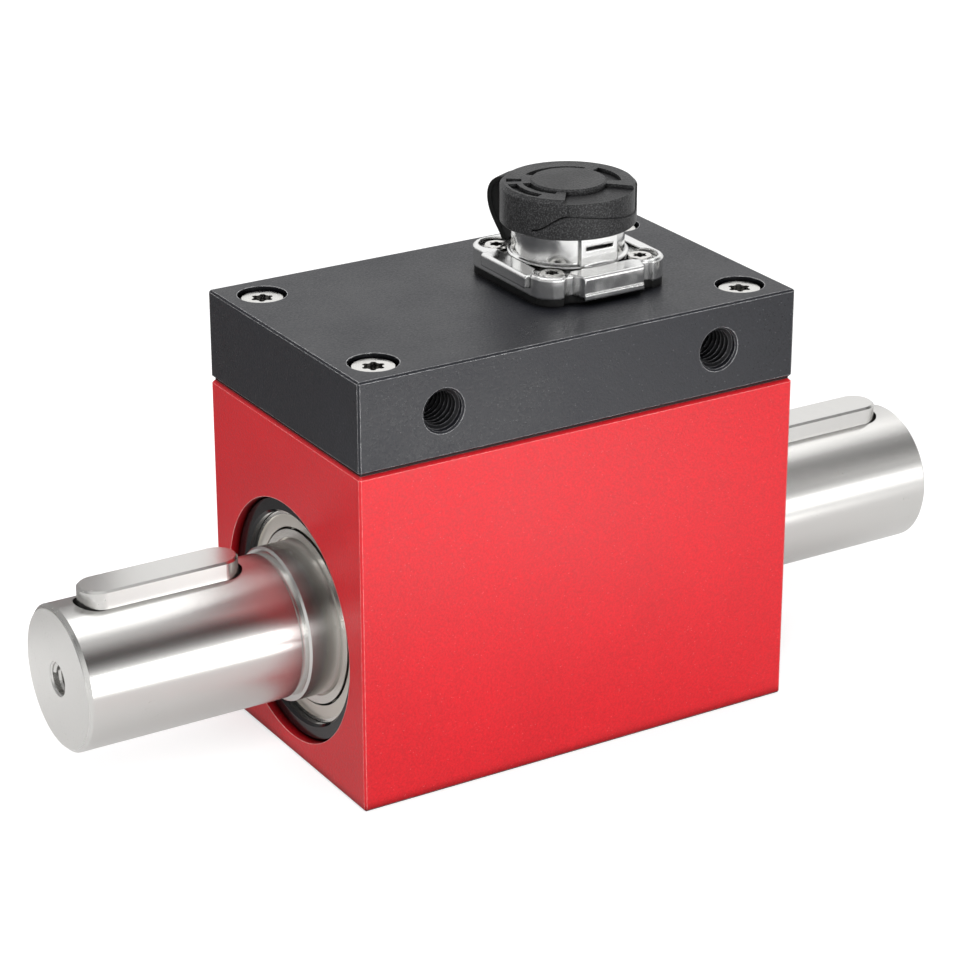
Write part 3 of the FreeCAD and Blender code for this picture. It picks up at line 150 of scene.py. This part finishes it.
def toned(tree, colour, tone):
    """A colour multiplied by a grey tone."""
    node = tree.nodes.new("ShaderNodeVectorMath")
    node.operation = "SCALE"
    if isinstance(colour, tuple):
        node.inputs[0].default_value = colour
    else:
        link(tree, colour, node.inputs[0])
    link(tree, tone, node.inputs["Scale"])
    return node.outputs[0]


# Shader node groups: one for each effect that several finishes share

RAY_SAMPLES = 6

# How far the heights of each texture stand out, in metres
GRAIN_HEIGHT = 0.00004
RING_HEIGHT = 0.00002
SKIN_HEIGHT = 0.00006
WAVE_HEIGHT = 0.0001


def new_group(name, inputs, outputs):
    """An empty shader group with named sockets: pairs of name and default, or name and type."""
    group = bpy.data.node_groups.new(name, "ShaderNodeTree")
    for title, value in inputs:
        socket = group.interface.new_socket(title, in_out="INPUT", socket_type="NodeSocketFloat")
        socket.default_value = value
    for title, kind in outputs:
        group.interface.new_socket(title, in_out="OUTPUT", socket_type=kind)
    return group, group.nodes.new("NodeGroupInput"), group.nodes.new("NodeGroupOutput")


def place_group(tree, group, **values):
    """A group in a material, with its own values; gives the group's outputs."""
    node = tree.nodes.new("ShaderNodeGroup")
    node.node_tree = group
    for title, value in values.items():
        node.inputs[title].default_value = value
    return node.outputs


def swing(tree, grey, strength):
    """A grey around 0.5 turned into a departure around 0 of the given strength."""
    return math_node(tree, "MULTIPLY", math_node(tree, "SUBTRACT", grey, 0.5), strength)


def blasted_grain():
    """The fine matt grain of bead-blasted and anodised aluminium, with sparse bright specks painted
    in as glints.
    """
    group, given, out = new_group(
        "blasted grain",
        [("Size", 3200.0), ("Contrast", 0.1), ("Cloud", 0.1), ("Specks", 0.2)],
        [("Tone", "NodeSocketFloat"), ("Speck", "NodeSocketFloat"), ("Height", "NodeSocketFloat")],
    )
    place = object_place(group)
    fine = noise(group, place, given.outputs["Size"], 3.0, 0.6)
    cloud = noise(group, place, 60.0, 4.0, 0.6)
    tone = math_node(
        group, "ADD",
        swing(group, fine, given.outputs["Contrast"]),
        swing(group, cloud, given.outputs["Cloud"]),
    )
    link(group, math_node(group, "ADD", tone, 1.0), out.inputs["Tone"])
    cells = group.nodes.new("ShaderNodeTexVoronoi")
    cells.feature = "F1"
    cells.inputs["Scale"].default_value = 1500.0
    link(group, place, cells.inputs["Vector"])
    dot = span(group, cells.outputs["Distance"], 0.08, 0.2, 1.0, 0.0)
    kept = span(group, noise(group, place, 700.0, 1.0), 0.56, 0.62, 0.0, given.outputs["Specks"])
    link(group, math_node(group, "MULTIPLY", dot, kept), out.inputs["Speck"])
    link(group, fine, out.inputs["Height"])
    return group


def edge_polish():
    """Where a corner turns: a mask from a rounded normal, for edges painted lighter as wear and as
    a highlight, and that normal for a soft highlight.
    """
    group, given, out = new_group(
        "edge polish",
        [("Radius", 0.0003), ("Low", 0.02), ("High", 0.25)],
        [("Edge", "NodeSocketFloat"), ("Normal", "NodeSocketVector")],
    )
    round_corner = group.nodes.new("ShaderNodeBevel")
    round_corner.samples = RAY_SAMPLES
    link(group, given.outputs["Radius"], round_corner.inputs["Radius"])
    geometry = group.nodes.new("ShaderNodeNewGeometry")
    match = group.nodes.new("ShaderNodeVectorMath")
    match.operation = "DOT_PRODUCT"
    link(group, round_corner.outputs["Normal"], match.inputs[0])
    link(group, geometry.outputs["Normal"], match.inputs[1])
    turned = math_node(group, "SUBTRACT", 1.0, match.outputs["Value"])
    edge = span(group, turned, given.outputs["Low"], given.outputs["High"], 0.0, 1.0)
    link(group, edge, out.inputs["Edge"])
    link(group, round_corner.outputs["Normal"], out.inputs["Normal"])
    return group


def painted_recess_shade():
    """Painted shade: how open a spot lies, 1 on a free face and less in a corner or a recess, for
    darkening the colour there.
    """
    group, given, out = new_group("painted recess shade", [("Reach", 0.003)], [("Open", "NodeSocketFloat")])
    shade = group.nodes.new("ShaderNodeAmbientOcclusion")
    shade.samples = RAY_SAMPLES
    link(group, given.outputs["Reach"], shade.inputs["Distance"])
    link(group, span(group, shade.outputs["AO"], 0.4, 0.85, 0.08, 1.0), out.inputs["Open"])
    return group


def lathe_lines():
    """Turned metal: fine rings about the X axis, faint streaks along it, and small scuffs."""
    group, given, out = new_group(
        "lathe lines",
        [("Rings", 5200.0), ("Depth", 0.25), ("Contrast", 0.12), ("Scuffs", 0.4)],
        [("Tone", "NodeSocketFloat"), ("Scuff", "NodeSocketFloat"), ("Normal", "NodeSocketVector")],
    )
    place = object_place(group)
    split = group.nodes.new("ShaderNodeSeparateXYZ")
    link(group, place, split.inputs[0])
    ring = group.nodes.new("ShaderNodeTexNoise")
    ring.noise_dimensions = "1D"
    link(group, split.outputs["X"], ring.inputs["W"])
    link(group, given.outputs["Rings"], ring.inputs["Scale"])
    ring.inputs["Detail"].default_value = 3.0
    stretch = group.nodes.new("ShaderNodeMapping")
    stretch.inputs["Scale"].default_value = (90.0, 1500.0, 1500.0)
    link(group, place, stretch.inputs["Vector"])
    streak = noise(group, stretch.outputs["Vector"], 1.0)
    broad = noise(group, place, 60.0, 3.0, 0.55)
    uneven = math_node(group, "MULTIPLY", math_node(group, "ADD", streak, broad), 0.25)
    ringed = math_node(group, "MULTIPLY", ring.outputs["Fac"], 0.5)
    tone = swing(group, math_node(group, "ADD", ringed, uneven), given.outputs["Contrast"])
    link(group, math_node(group, "ADD", tone, 1.0), out.inputs["Tone"])
    fine = noise(group, place, 2600.0, 2.0, 0.6)
    scuff = span(group, fine, 0.6, 0.7, 0.0, given.outputs["Scuffs"])
    patch = span(group, noise(group, place, 150.0), 0.5, 0.65, 0.0, 1.0)
    link(group, math_node(group, "MULTIPLY", scuff, patch), out.inputs["Scuff"])
    normal = bump(group, ring.outputs["Fac"], given.outputs["Depth"], RING_HEIGHT)
    link(group, normal, out.inputs["Normal"])
    return group


def moulded_skin():
    """Spark-eroded plastic: close, soft dimples, pale specks painted in as glints and a slight
    unevenness of gloss.
    """
    group, given, out = new_group(
        "moulded skin",
        [("Size", 2300.0), ("Depth", 0.5), ("Specks", 0.0)],
        [("Tone", "NodeSocketFloat"), ("Gloss", "NodeSocketFloat"), ("Normal", "NodeSocketVector")],
    )
    place = object_place(group)
    grains = noise(group, place, given.outputs["Size"], 2.0, 0.55)
    broad = noise(group, place, 120.0)
    # Pale specks painted in the colour as glints of the grain
    glint_dots = span(group, noise(group, place, 3600.0), 0.47, 0.7, 0.0, given.outputs["Specks"])
    even = span(group, grains, 0.35, 0.65, 0.82, 1.2)
    link(group, math_node(group, "ADD", even, glint_dots), out.inputs["Tone"])
    link(group, span(group, broad, 0.3, 0.7, 0.85, 1.15), out.inputs["Gloss"])
    link(group, bump(group, grains, given.outputs["Depth"], SKIN_HEIGHT), out.inputs["Normal"])
    return group


def cast_waviness():
    """A polished casting: slightly wavy, with fine pits and a haze that comes and goes."""
    group, given, out = new_group(
        "cast waviness",
        [("Pits", 0.12), ("Haze", 1.0)],
        [("Haze", "NodeSocketFloat"), ("Height", "NodeSocketFloat")],
    )
    place = object_place(group)
    waves = noise(group, place, 260.0)
    pits = noise(group, place, 2400.0)
    patchy = span(group, waves, 0.35, 0.7, 0.5, 1.5)
    link(group, math_node(group, "MULTIPLY", patchy, given.outputs["Haze"]), out.inputs["Haze"])
    pitted = math_node(group, "MULTIPLY", pits, given.outputs["Pits"])
    link(group, math_node(group, "ADD", waves, pitted), out.inputs["Height"])
    return group


GRAIN = blasted_grain()
EDGE = edge_polish()
RECESS_SHADE = painted_recess_shade()
LATHE = lathe_lines()
SKIN = moulded_skin()
CAST = cast_waviness()


# Finishes

SCUFF_GREY = (0.3, 0.29, 0.28)
SCUFF_ROUGHNESS = 0.2


def new_finish(name, roughness, metallic=0.0, specular=0.5):
    """A material with a Principled shader, its plain values set on the shader's own sockets."""
    material = bpy.data.materials.new(name)
    material.use_nodes = True
    tree = material.node_tree
    shader = tree.nodes["Principled BSDF"]
    shader.inputs["Roughness"].default_value = roughness
    shader.inputs["Metallic"].default_value = metallic
    shader.inputs["Specular IOR Level"].default_value = specular
    return material, tree, shader


def anodised(name, colour, worn_and_highlight_colour, glint_speck_colour, roughness, depth, specular, **texture):
    """Anodised aluminium: blasted grain, a few bright specks painted in as glints, edges painted
    lighter as wear and as a highlight, and painted shade that darkens and dulls the recesses.
    """
    material, tree, shader = new_finish(name, roughness, specular=specular)
    grain = place_group(tree, GRAIN, **texture)
    edge = place_group(tree, EDGE, Low=0.03, High=0.13)
    body = toned(tree, colour, grain["Tone"])
    # Bright specks painted in the colour as glints of the grain
    glint_specked = blend_colour(tree, grain["Speck"], body, glint_speck_colour)
    patchy = span(tree, noise(tree, object_place(tree), 900.0, 3.0), 0.35, 0.6, 0.45, 1.0)
    # Edges painted lighter: partly wear of the anodising, partly a painted highlight on the corners
    rubbed_and_lit = math_node(tree, "MULTIPLY", edge["Edge"], patchy)
    worn_and_lit = blend_colour(tree, rubbed_and_lit, glint_specked, worn_and_highlight_colour)
    # Painted shade: the colour darkens, and the reflection is taken away, in corners and recesses
    painted_shade_factor = place_group(tree, RECESS_SHADE)["Open"]
    normal = bump(tree, grain["Height"], depth, GRAIN_HEIGHT, edge["Normal"])
    link(tree, toned(tree, worn_and_lit, painted_shade_factor), shader.inputs["Base Color"])
    link(tree, math_node(tree, "SUBTRACT", 1.0, painted_shade_factor), shader.inputs["Metallic"])
    link(tree, math_node(tree, "MULTIPLY", grain["Tone"], roughness), shader.inputs["Roughness"])
    link(tree, normal, shader.inputs["Normal"])
    return material


def across_rings(tree):
    """The way across rings about the shaft's axis: along it on a round face, outwards on an end."""
    place = split_place(tree)
    way = tree.nodes.new("ShaderNodeCombineXYZ")
    way.inputs["X"].default_value = 10 * MM
    link(tree, place["Y"], way.inputs["Y"])
    link(tree, math_node(tree, "SUBTRACT", place["Z"], SHAFT_Z), way.inputs["Z"])
    return way.outputs[0]


def along_shaft(tree):
    """One way for the whole shaft, so that its ground end faces look even."""
    way = tree.nodes.new("ShaderNodeCombineXYZ")
    way.inputs["X"].default_value = 1.0
    way.inputs["Y"].default_value = 0.1
    return way.outputs[0]


def shaft_zones(tree, roughness, seat_roughness, end_roughness):
    """Roughness along the shaft: the bearing seats and the end faces differ from the rest."""
    edge = 0.1 * MM
    along = math_node(tree, "ABSOLUTE", split_place(tree)["X"])
    seat = span(tree, along, SEAT_END - edge, SEAT_END + edge, seat_roughness, roughness)
    end = span(tree, along, SHAFT_END - 2 * edge, SHAFT_END - edge, roughness, end_roughness)
    return math_node(tree, "MAXIMUM", seat, end)


def turned_metal(name, colour, roughness, rings, depth, contrast, scuffs, spread=0.0, zones=None):
    """Turned metal; spread draws the reflections out across the turning marks.

    Zones are the roughness of the shaft's bearing seats and of its end faces.
    """
    material, tree, shader = new_finish(name, roughness, metallic=1.0)
    shader.inputs["Anisotropic"].default_value = spread
    lines = place_group(tree, LATHE, Rings=rings, Depth=depth, Contrast=contrast, Scuffs=scuffs)
    body = toned(tree, colour, lines["Tone"])
    link(tree, blend_colour(tree, lines["Scuff"], body, SCUFF_GREY), shader.inputs["Base Color"])
    plain = shaft_zones(tree, roughness, *zones) if zones else roughness
    rough = math_node(tree, "MULTIPLY", lines["Tone"], plain)
    scuffed = math_node(tree, "MULTIPLY", lines["Scuff"], SCUFF_ROUGHNESS)
    link(tree, math_node(tree, "ADD", rough, scuffed), shader.inputs["Roughness"])
    link(tree, lines["Normal"], shader.inputs["Normal"])
    if spread:
        link(tree, along_shaft(tree) if zones else across_rings(tree), shader.inputs["Tangent"])
    return material


def plastic(name, colour, roughness, size, depth, specular=0.4, specks=0.0):
    """Plastic, rubber or lacquer with a moulded skin, with painted shade darkening its recesses."""
    material, tree, shader = new_finish(name, roughness, specular=specular)
    skin = place_group(tree, SKIN, Size=size, Depth=depth, Specks=specks)
    # Painted shade: the colour darkens in corners and recesses
    painted_shade_factor = place_group(tree, RECESS_SHADE, Reach=0.0012)["Open"]
    shade = math_node(tree, "MULTIPLY", skin["Tone"], painted_shade_factor)
    link(tree, toned(tree, colour, shade), shader.inputs["Base Color"])
    link(tree, math_node(tree, "MULTIPLY", skin["Gloss"], roughness), shader.inputs["Roughness"])
    link(tree, skin["Normal"], shader.inputs["Normal"])
    return material


def casting(name, colour, roughness, depth, radius=0.0003, reach=0.001):
    """Polished metal with softly rounded corners, with painted shade darkening its recesses."""
    material, tree, shader = new_finish(name, roughness, metallic=1.0)
    cast = place_group(tree, CAST, Haze=roughness)
    edge = place_group(tree, EDGE, Radius=radius)
    # Painted shade: the colour darkens in corners and recesses
    painted_shade_factor = place_group(tree, RECESS_SHADE, Reach=reach)["Open"]
    link(tree, toned(tree, colour, painted_shade_factor), shader.inputs["Base Color"])
    link(tree, cast["Haze"], shader.inputs["Roughness"])
    normal = bump(tree, cast["Height"], depth, WAVE_HEIGHT, edge["Normal"])
    link(tree, normal, shader.inputs["Normal"])
    return material


# Material slots of the record and their finishes. Turned metal is given by colour, roughness,
# rings in a metre, depth, contrast and scuffs; plastic by colour, roughness, grains in a metre,
# depth and specular; a casting by colour, roughness, depth, corner radius and reach of the painted
# shade
FINISHES = {
    "red_anodised": anodised(
        "red anodised", (0.56, 0.004, 0.011),
        worn_and_highlight_colour=(1.0, 0.6, 0.58), glint_speck_colour=(0.95, 0.3, 0.3),
        roughness=0.4, depth=1.7, specular=0.46,
        Size=2300.0, Contrast=0.75, Cloud=0.2, Specks=0.26,
    ),
    "black_anodised": anodised(
        "black anodised", (0.011, 0.0115, 0.015),
        worn_and_highlight_colour=(0.75, 0.75, 0.76), glint_speck_colour=(0.2, 0.2, 0.21),
        roughness=0.38, depth=1.2, specular=0.35,
        Size=2300.0, Contrast=1.3, Cloud=0.7, Specks=0.4,
    ),
    "turned_steel": turned_metal(
        "turned steel", (0.72, 0.71, 0.69), 0.24, 5200.0, 0.25, 0.12, 0.25,
        spread=0.88, zones=(0.25, 0.42),
    ),
    "ground_steel": turned_metal(
        "ground steel", (0.74, 0.73, 0.71), 0.26, 900.0, 0.1, 0.08, 0.1
    ),
    "bearing_steel": turned_metal(
        "bearing steel", (0.86, 0.84, 0.79), 0.2, 7000.0, 0.08, 0.05, 0.0, spread=0.6
    ),
    "shield_steel": turned_metal(
        "shield sheet", (0.8, 0.77, 0.7), 0.28, 7000.0, 0.1, 0.06, 0.05, spread=0.5
    ),
    "spring_steel": turned_metal(
        "spring steel", (0.16, 0.16, 0.17), 0.35, 3000.0, 0.1, 0.08, 0.0
    ),
    "zinc_steel": casting("plated screws", (0.8, 0.79, 0.76), 0.25, 0.06, 0.0001, 0.0015),
    "polished_casting": casting(
        "polished casting", (0.88, 0.88, 0.87), 0.18, 0.03, 0.0005, 0.0005
    ),
    "black_carrier": plastic("carrier black", (0.006, 0.006, 0.007), 0.12, 5000.0, 0.1),
    "cap_plastic": plastic(
        "cap plastic", (0.019, 0.019, 0.0195), 0.36, 2300.0, 2.0, 0.14, specks=2.4
    ),
    "black_rubber": plastic("black rubber", (0.007, 0.007, 0.007), 0.5, 1500.0, 0.2, 0.2),
    "black_plastic": plastic("black plastic", (0.02, 0.02, 0.021), 0.4, 3000.0, 0.2),
    "white_plastic": plastic("white plastic", (0.7, 0.68, 0.6), 0.45, 2500.0, 0.2),
    "green_board": plastic("green board", (0.02, 0.17, 0.07), 0.35, 1200.0, 0.2),
    "gauge_foil": plastic("gauge foil", (0.6, 0.4, 0.14), 0.4, 1500.0, 0.2),
    "copper": turned_metal("copper wire", (0.72, 0.33, 0.16), 0.3, 4200.0, 0.9, 0.3, 0.0),
    "brass": casting("plain brass", (0.72, 0.55, 0.26), 0.25, 0.06),
}

# The front holes' threads, painted darker than the cover's faces as the shade inside the holes
shaded_black_thread = anodised(
    "black thread with painted shade", (0.005, 0.005, 0.006),
    worn_and_highlight_colour=(0.3, 0.3, 0.31), glint_speck_colour=(0.03, 0.03, 0.03),
    roughness=0.38, depth=0.4, specular=0.2,
    Size=2300.0, Contrast=0.5, Cloud=0.3, Specks=0.1,
)


def dress(piece, material):
    piece.data.materials.clear()
    piece.data.materials.append(material)


for part in frame["record"]["subparts"]:
    dress(frame["nodes"][part["node"]], FINISHES[part["material_slot"]])


# New pieces

def deselect():
    if bpy.context.object and bpy.context.object.mode != "OBJECT":
        bpy.ops.object.mode_set(mode="OBJECT")
    bpy.ops.object.select_all(action="DESELECT")


def finish_piece(piece, name, body, material):
    """Names, dresses and declares a piece whose place is in its mesh."""
    piece.name = piece.data.name = name
    dress(piece, material)
    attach(piece, body)


def editing(piece):
    """Edit mode on one piece, with all of it selected."""
    deselect()
    bpy.context.view_layer.objects.active = piece
    piece.select_set(True)
    bpy.ops.object.mode_set(mode="EDIT")
    bpy.ops.mesh.select_mode(type="VERT")
    bpy.ops.mesh.select_all(action="SELECT")


def pick(piece, wanted):
    """Selects the vertices whose place passes the test, in edit mode."""
    bpy.ops.mesh.select_all(action="DESELECT")
    bpy.ops.object.mode_set(mode="OBJECT")
    for vertex in piece.data.vertices:
        vertex.select = wanted(vertex.co)
    bpy.ops.object.mode_set(mode="EDIT")


def face_outwards():
    """Turns all normals of the piece outwards, and leaves edit mode."""
    bpy.ops.mesh.select_all(action="SELECT")
    bpy.ops.mesh.normals_make_consistent(inside=False)
    bpy.ops.object.mode_set(mode="OBJECT")


def apply(piece, title, kind, **settings):
    """Adds a modifier and applies it."""
    modifier = piece.modifiers.new(title, kind)
    for setting, value in settings.items():
        setattr(modifier, setting, value)
    bpy.ops.object.modifier_apply(modifier=title)


# A tapped thread's outer and inner radius, its pitch and its length
M8_THREAD = {"major": 4.05 * MM, "minor": 3.35 * MM, "pitch": 1.25 * MM, "length": 10 * MM}
M6_THREAD = {"major": 3.05 * MM, "minor": 2.5 * MM, "pitch": 1.0 * MM, "length": 13 * MM}

# A tooth's width at its root as a share of the pitch, and at its crest as a share of the root
TOOTH_ROOT = 0.94
TOOTH_CREST = 0.16
STEPS_IN_A_TURN = 40
WELD_DISTANCE = 0.002 * MM


def tapped_thread(name, mouth, inward, body, material, slot, major, minor, pitch, length):
    """The ridge of a tapped hole: one tooth's section carried round the hole's axis."""
    deselect()
    depth = major - minor
    middle = minor + depth / 2
    bpy.ops.mesh.primitive_plane_add(
        size=1, location=(middle, 0, pitch / 2), rotation=(math.pi / 2, 0, 0)
    )
    piece = bpy.context.object
    piece.scale = (depth, pitch * TOOTH_ROOT, 1)
    bpy.ops.object.transform_apply()
    editing(piece)
    pick(piece, lambda place: place.x < middle)
    bpy.ops.transform.resize(value=(1, 1, TOOTH_CREST))
    bpy.ops.object.mode_set(mode="OBJECT")
    apply(
        piece, "winding", "SCREW", axis="Z", angle=math.tau, screw_offset=pitch,
        iterations=round(length / pitch), steps=STEPS_IN_A_TURN, render_steps=STEPS_IN_A_TURN,
    )
    editing(piece)
    bpy.ops.mesh.remove_doubles(threshold=WELD_DISTANCE)
    bpy.ops.mesh.fill_holes(sides=4)
    face_outwards()
    turn = inward.to_track_quat("Z", "Y").to_matrix().to_4x4()
    piece.data.transform(Matrix.Translation(mouth) @ turn)
    finish_piece(piece, name, body, material)


# The front holes' way out from the middle and their height; a thread starts a bit inside its hole
FRONT_HOLE_OUT = 30 * MM
FRONT_HOLE_Z = cover_high.z - 8.8 * MM
THREAD_INSET = 0.5 * MM

for side, word, shaft_end in ((-1, "left", shaft_low.x), (1, "right", shaft_high.x)):
    tapped_thread(
        f"front_thread_{word}",
        Vector((side * FRONT_HOLE_OUT, cover_low.y + THREAD_INSET, FRONT_HOLE_Z)),
        Vector((0, 1, 0)), "housing", shaded_black_thread, "black_anodised", **M8_THREAD,
    )
    tapped_thread(
        f"end_thread_{word}",
        Vector((shaft_end - side * THREAD_INSET, 0, SHAFT_Z)),
        Vector((-side, 0, 0)), "rotor", FINISHES["turned_steel"], "turned_steel", **M6_THREAD,
    )


# The strap's heading about the connector, and the way outwards and upwards along it, in mm
STRAP_ANGLE = 116
STRAP_WIDTH, STRAP_THICKNESS, STRAP_ROUNDING = 5 * MM, 1.15 * MM, 0.3 * MM
STRAP_PATH = (
    (12.9, 5.65), (13.5, 7.2), (14.7, 9.1), (15.8, 11.2), (16.35, 13.4),
    (16.25, 15.4), (15.4, 16.9), (14.1, 17.6), (13.1, 17.7),
)


def cap_strap():
    """The bent strap: its section is drawn out step by step, turned across the path each time."""
    points = [Vector((out, 0, up)) * MM for out, up in STRAP_PATH]
    ways = [(after - before).normalized() for before, after in zip(points, points[1:])]
    deselect()
    bpy.ops.mesh.primitive_plane_add(size=1, location=points[0])
    piece = bpy.context.object
    piece.scale = (STRAP_THICKNESS, STRAP_WIDTH, 1)
    bpy.ops.object.transform_apply()
    editing(piece)
    heading = 0.0
    for index, step in enumerate(points[1:]):
        bpy.ops.mesh.extrude_region_move(TRANSFORM_OT_translate={"value": step - points[index]})
        last = index == len(ways) - 1
        way = ways[index] if last else (ways[index] + ways[index + 1]).normalized()
        wanted = math.atan2(way.x, way.z)
        bpy.ops.transform.rotate(
            value=heading - wanted, orient_axis="Y", orient_type="GLOBAL", center_override=step
        )
        heading = wanted
    face_outwards()
    apply(
        piece, "rounding", "BEVEL", width=STRAP_ROUNDING, segments=3,
        limit_method="ANGLE", angle_limit=1.0,
    )
    apply(piece, "smoothing", "SUBSURF", levels=2, render_levels=2)
    bpy.ops.object.shade_smooth()
    place = Matrix.Translation((CONNECTOR_X, 0, COVER_TOP))
    piece.data.transform(place @ Matrix.Rotation(math.radians(STRAP_ANGLE), 4, "Z"))
    piece.name = piece.data.name = "strap"
    dress(piece, FINISHES["black_rubber"])
    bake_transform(piece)
    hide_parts("cap_strap")


cap_strap()


# Floor, light and camera

FLOOR_SIZE = 6
FLOOR_GREY = 0.55
FLOOR_SHOWN = 0.55
# The floor's faint painted glow, seen everywhere on it but only in reflections
FLOOR_GLOW_IN_REFLECTIONS = 0.12

# Pools of light that only reflections see: centre, where it starts to fade, where it ends, strength
POOLS = (
    ((0.045, -0.185, 0.0), 0.02, 0.11, 5.0),
    ((-0.09, 0.075, 0.0), 0.02, 0.045, 1.2),
    ((0.35, -0.75, 0.0), 0.1, 0.62, 0.6),
)


def floor_pool(tree, centre, near, far, strength):
    """A pool of light on the floor: full within the near distance and gone at the far one."""
    reach = tree.nodes.new("ShaderNodeVectorMath")
    reach.operation = "DISTANCE"
    link(tree, object_place(tree), reach.inputs[0])
    reach.inputs[1].default_value = centre
    return span(tree, reach.outputs["Value"], near, far, strength, 0.0)


def plain_floor():
    """A matt floor that glows white to the camera, and shows reflections a painted glow: a faint
    even one and its pools of light.
    """
    deselect()
    bpy.ops.mesh.primitive_plane_add(size=FLOOR_SIZE, location=(0, 0, 0))
    floor = bpy.context.object
    floor.name = "floor"
    material = bpy.data.materials.new("floor")
    material.use_nodes = True
    tree = material.node_tree
    tree.nodes.clear()
    out = tree.nodes.new("ShaderNodeOutputMaterial")
    matt = tree.nodes.new("ShaderNodeBsdfDiffuse")
    matt.inputs["Color"].default_value = (FLOOR_GREY, FLOOR_GREY, FLOOR_GREY, 1)
    glow = tree.nodes.new("ShaderNodeEmission")
    path = tree.nodes.new("ShaderNodeLightPath")
    glint = FLOOR_GLOW_IN_REFLECTIONS
    for pool in POOLS:
        glint = math_node(tree, "ADD", glint, floor_pool(tree, *pool))
    shown = math_node(tree, "MULTIPLY", path.outputs["Is Camera Ray"], FLOOR_SHOWN)
    mirrored = math_node(tree, "MULTIPLY", path.outputs["Is Glossy Ray"], glint)
    link(tree, math_node(tree, "ADD", shown, mirrored), glow.inputs["Strength"])
    both = tree.nodes.new("ShaderNodeAddShader")
    link(tree, matt.outputs[0], both.inputs[0])
    link(tree, glow.outputs[0], both.inputs[1])
    link(tree, both.outputs[0], out.inputs["Surface"])
    dress(floor, material)


# Brightness of the room by the sine of the elevation, from -1 at 0 to 1 at 1: the front has a
# dark band between the pale horizon and the pale ceiling, the back is even
FRONT = (
    (0.0, 0.75), (0.5, 0.95), (0.57, 1.0), (0.66, 0.85), (0.72, 0.35),
    (0.76, 0.15), (0.8, 0.07), (0.84, 0.12), (0.88, 0.3), (0.94, 0.8), (1.0, 0.9),
)
BACK = ((0.0, 0.75), (0.5, 0.8), (0.69, 1.0), (1.0, 1.0))

# The Y of a direction where the front starts to give way to the back, and where the back is all
BACK_STARTS, BACK_IS_ALL = 0.22, 0.4


def grey_ramp(tree, stops, value):
    """A grey that follows the value through pairs of place and brightness."""
    ramp = tree.nodes.new("ShaderNodeValToRGB")
    ramp.color_ramp.interpolation = "EASE"
    elements = ramp.color_ramp.elements
    while len(elements) < len(stops):
        elements.new(0.5)
    for element, (place, grey) in zip(elements, stops):
        element.position = place
        element.color = (grey, grey, grey, 1)
    link(tree, value, ramp.inputs[0])
    return ramp.outputs[0]


def studio_world():
    """A plain studio: white to the camera, and banded from floor to ceiling in reflections."""
    world = bpy.data.worlds.new("studio")
    bpy.context.scene.world = world
    world.use_nodes = True
    tree = world.node_tree
    ground = tree.nodes["Background"]
    path = tree.nodes.new("ShaderNodeLightPath")
    split = tree.nodes.new("ShaderNodeSeparateXYZ")
    link(tree, tree.nodes.new("ShaderNodeTexCoord").outputs["Generated"], split.inputs[0])
    height = span(tree, split.outputs["Z"], -1.0, 1.0, 0.0, 1.0)
    behind = span(tree, split.outputs["Y"], BACK_STARTS, BACK_IS_ALL, 0.0, 1.0)
    room = blend_colour(tree, behind, grey_ramp(tree, FRONT, height), grey_ramp(tree, BACK, height))
    seen = blend_colour(tree, path.outputs["Is Camera Ray"], room, (1.0, 1.0, 1.0))
    link(tree, seen, ground.inputs["Color"])
    ground.inputs["Strength"].default_value = 1.0


def grey_card(name, place, size, grey):
    """An upright grey card, seen only in reflections."""
    deselect()
    bpy.ops.mesh.primitive_plane_add(size=1, location=place, rotation=(math.pi / 2, 0, 0))
    card = bpy.context.object
    card.name = name
    card.scale = (*size, 1)
    material, _, shader = new_finish(name, 1.0, specular=0.0)
    shader.inputs["Base Color"].default_value = (grey, grey, grey, 1)
    dress(card, material)
    card.visible_camera = card.visible_diffuse = card.visible_shadow = False


LIGHT_TARGET = Vector((0, 0, 0.05))


def soft_box(name, place, size, power):
    """A rectangular lamp that looks at the object."""
    data = bpy.data.lights.new(name, "AREA")
    data.shape = "RECTANGLE"
    data.size, data.size_y = size
    data.energy = power
    lamp = bpy.data.objects.new(name, data)
    bpy.context.scene.collection.objects.link(lamp)
    lamp.location = place
    lamp.rotation_euler = (LIGHT_TARGET - Vector(place)).to_track_quat("-Z", "Y").to_euler()
    return lamp


plain_floor()
studio_world()
soft_box("main light", (-0.45, -0.8, 0.8), (0.5, 0.4), 10.0).visible_glossy = False
soft_box("front light", (0.08, -1.0, 0.17), (1.1, 0.32), 2.9)
soft_box("top light", (0.1, 0.25, 1.1), (1.4, 0.7), 3.8)
grey_card("side card", (-0.28, 0.075, 0.15), (0.46, 0.3), 0.27)
grey_card("right shaft card", (0.225, -0.2, 0.27), (0.13, 0.26), 0.8)
grey_card("connector card", (-0.055, 0.12, 0.038), (0.07, 0.074), 0.05)

# The camera's angles in degrees, the origin's place as the camera sees it, and the focal length
# as a share of the picture's width
AZIMUTH, ELEVATION, ROLL = -31.274, 22.876, -0.096
OFFSET = Vector((4.25, -42.46, -630.923)) * MM
FOCAL_SHARE = 3156.7 / 960
SENSOR_WIDTH = 36

camera_data = bpy.data.cameras.new("camera")
camera_data.sensor_width = SENSOR_WIDTH
camera_data.lens = SENSOR_WIDTH * FOCAL_SHARE
camera_data.clip_start, camera_data.clip_end = 0.01, 50
camera = bpy.data.objects.new("camera", camera_data)
bpy.context.scene.collection.objects.link(camera)
turn = (
    Matrix.Rotation(math.radians(AZIMUTH), 3, "Z")
    @ Matrix.Rotation(math.radians(90 - ELEVATION), 3, "X")
    @ Matrix.Rotation(math.radians(ROLL), 3, "Z")
)
camera.matrix_world = Matrix.Translation(turn @ -OFFSET) @ turn.to_4x4()
bpy.context.scene.camera = camera
bpy.context.scene.view_settings.view_transform = "Standard"
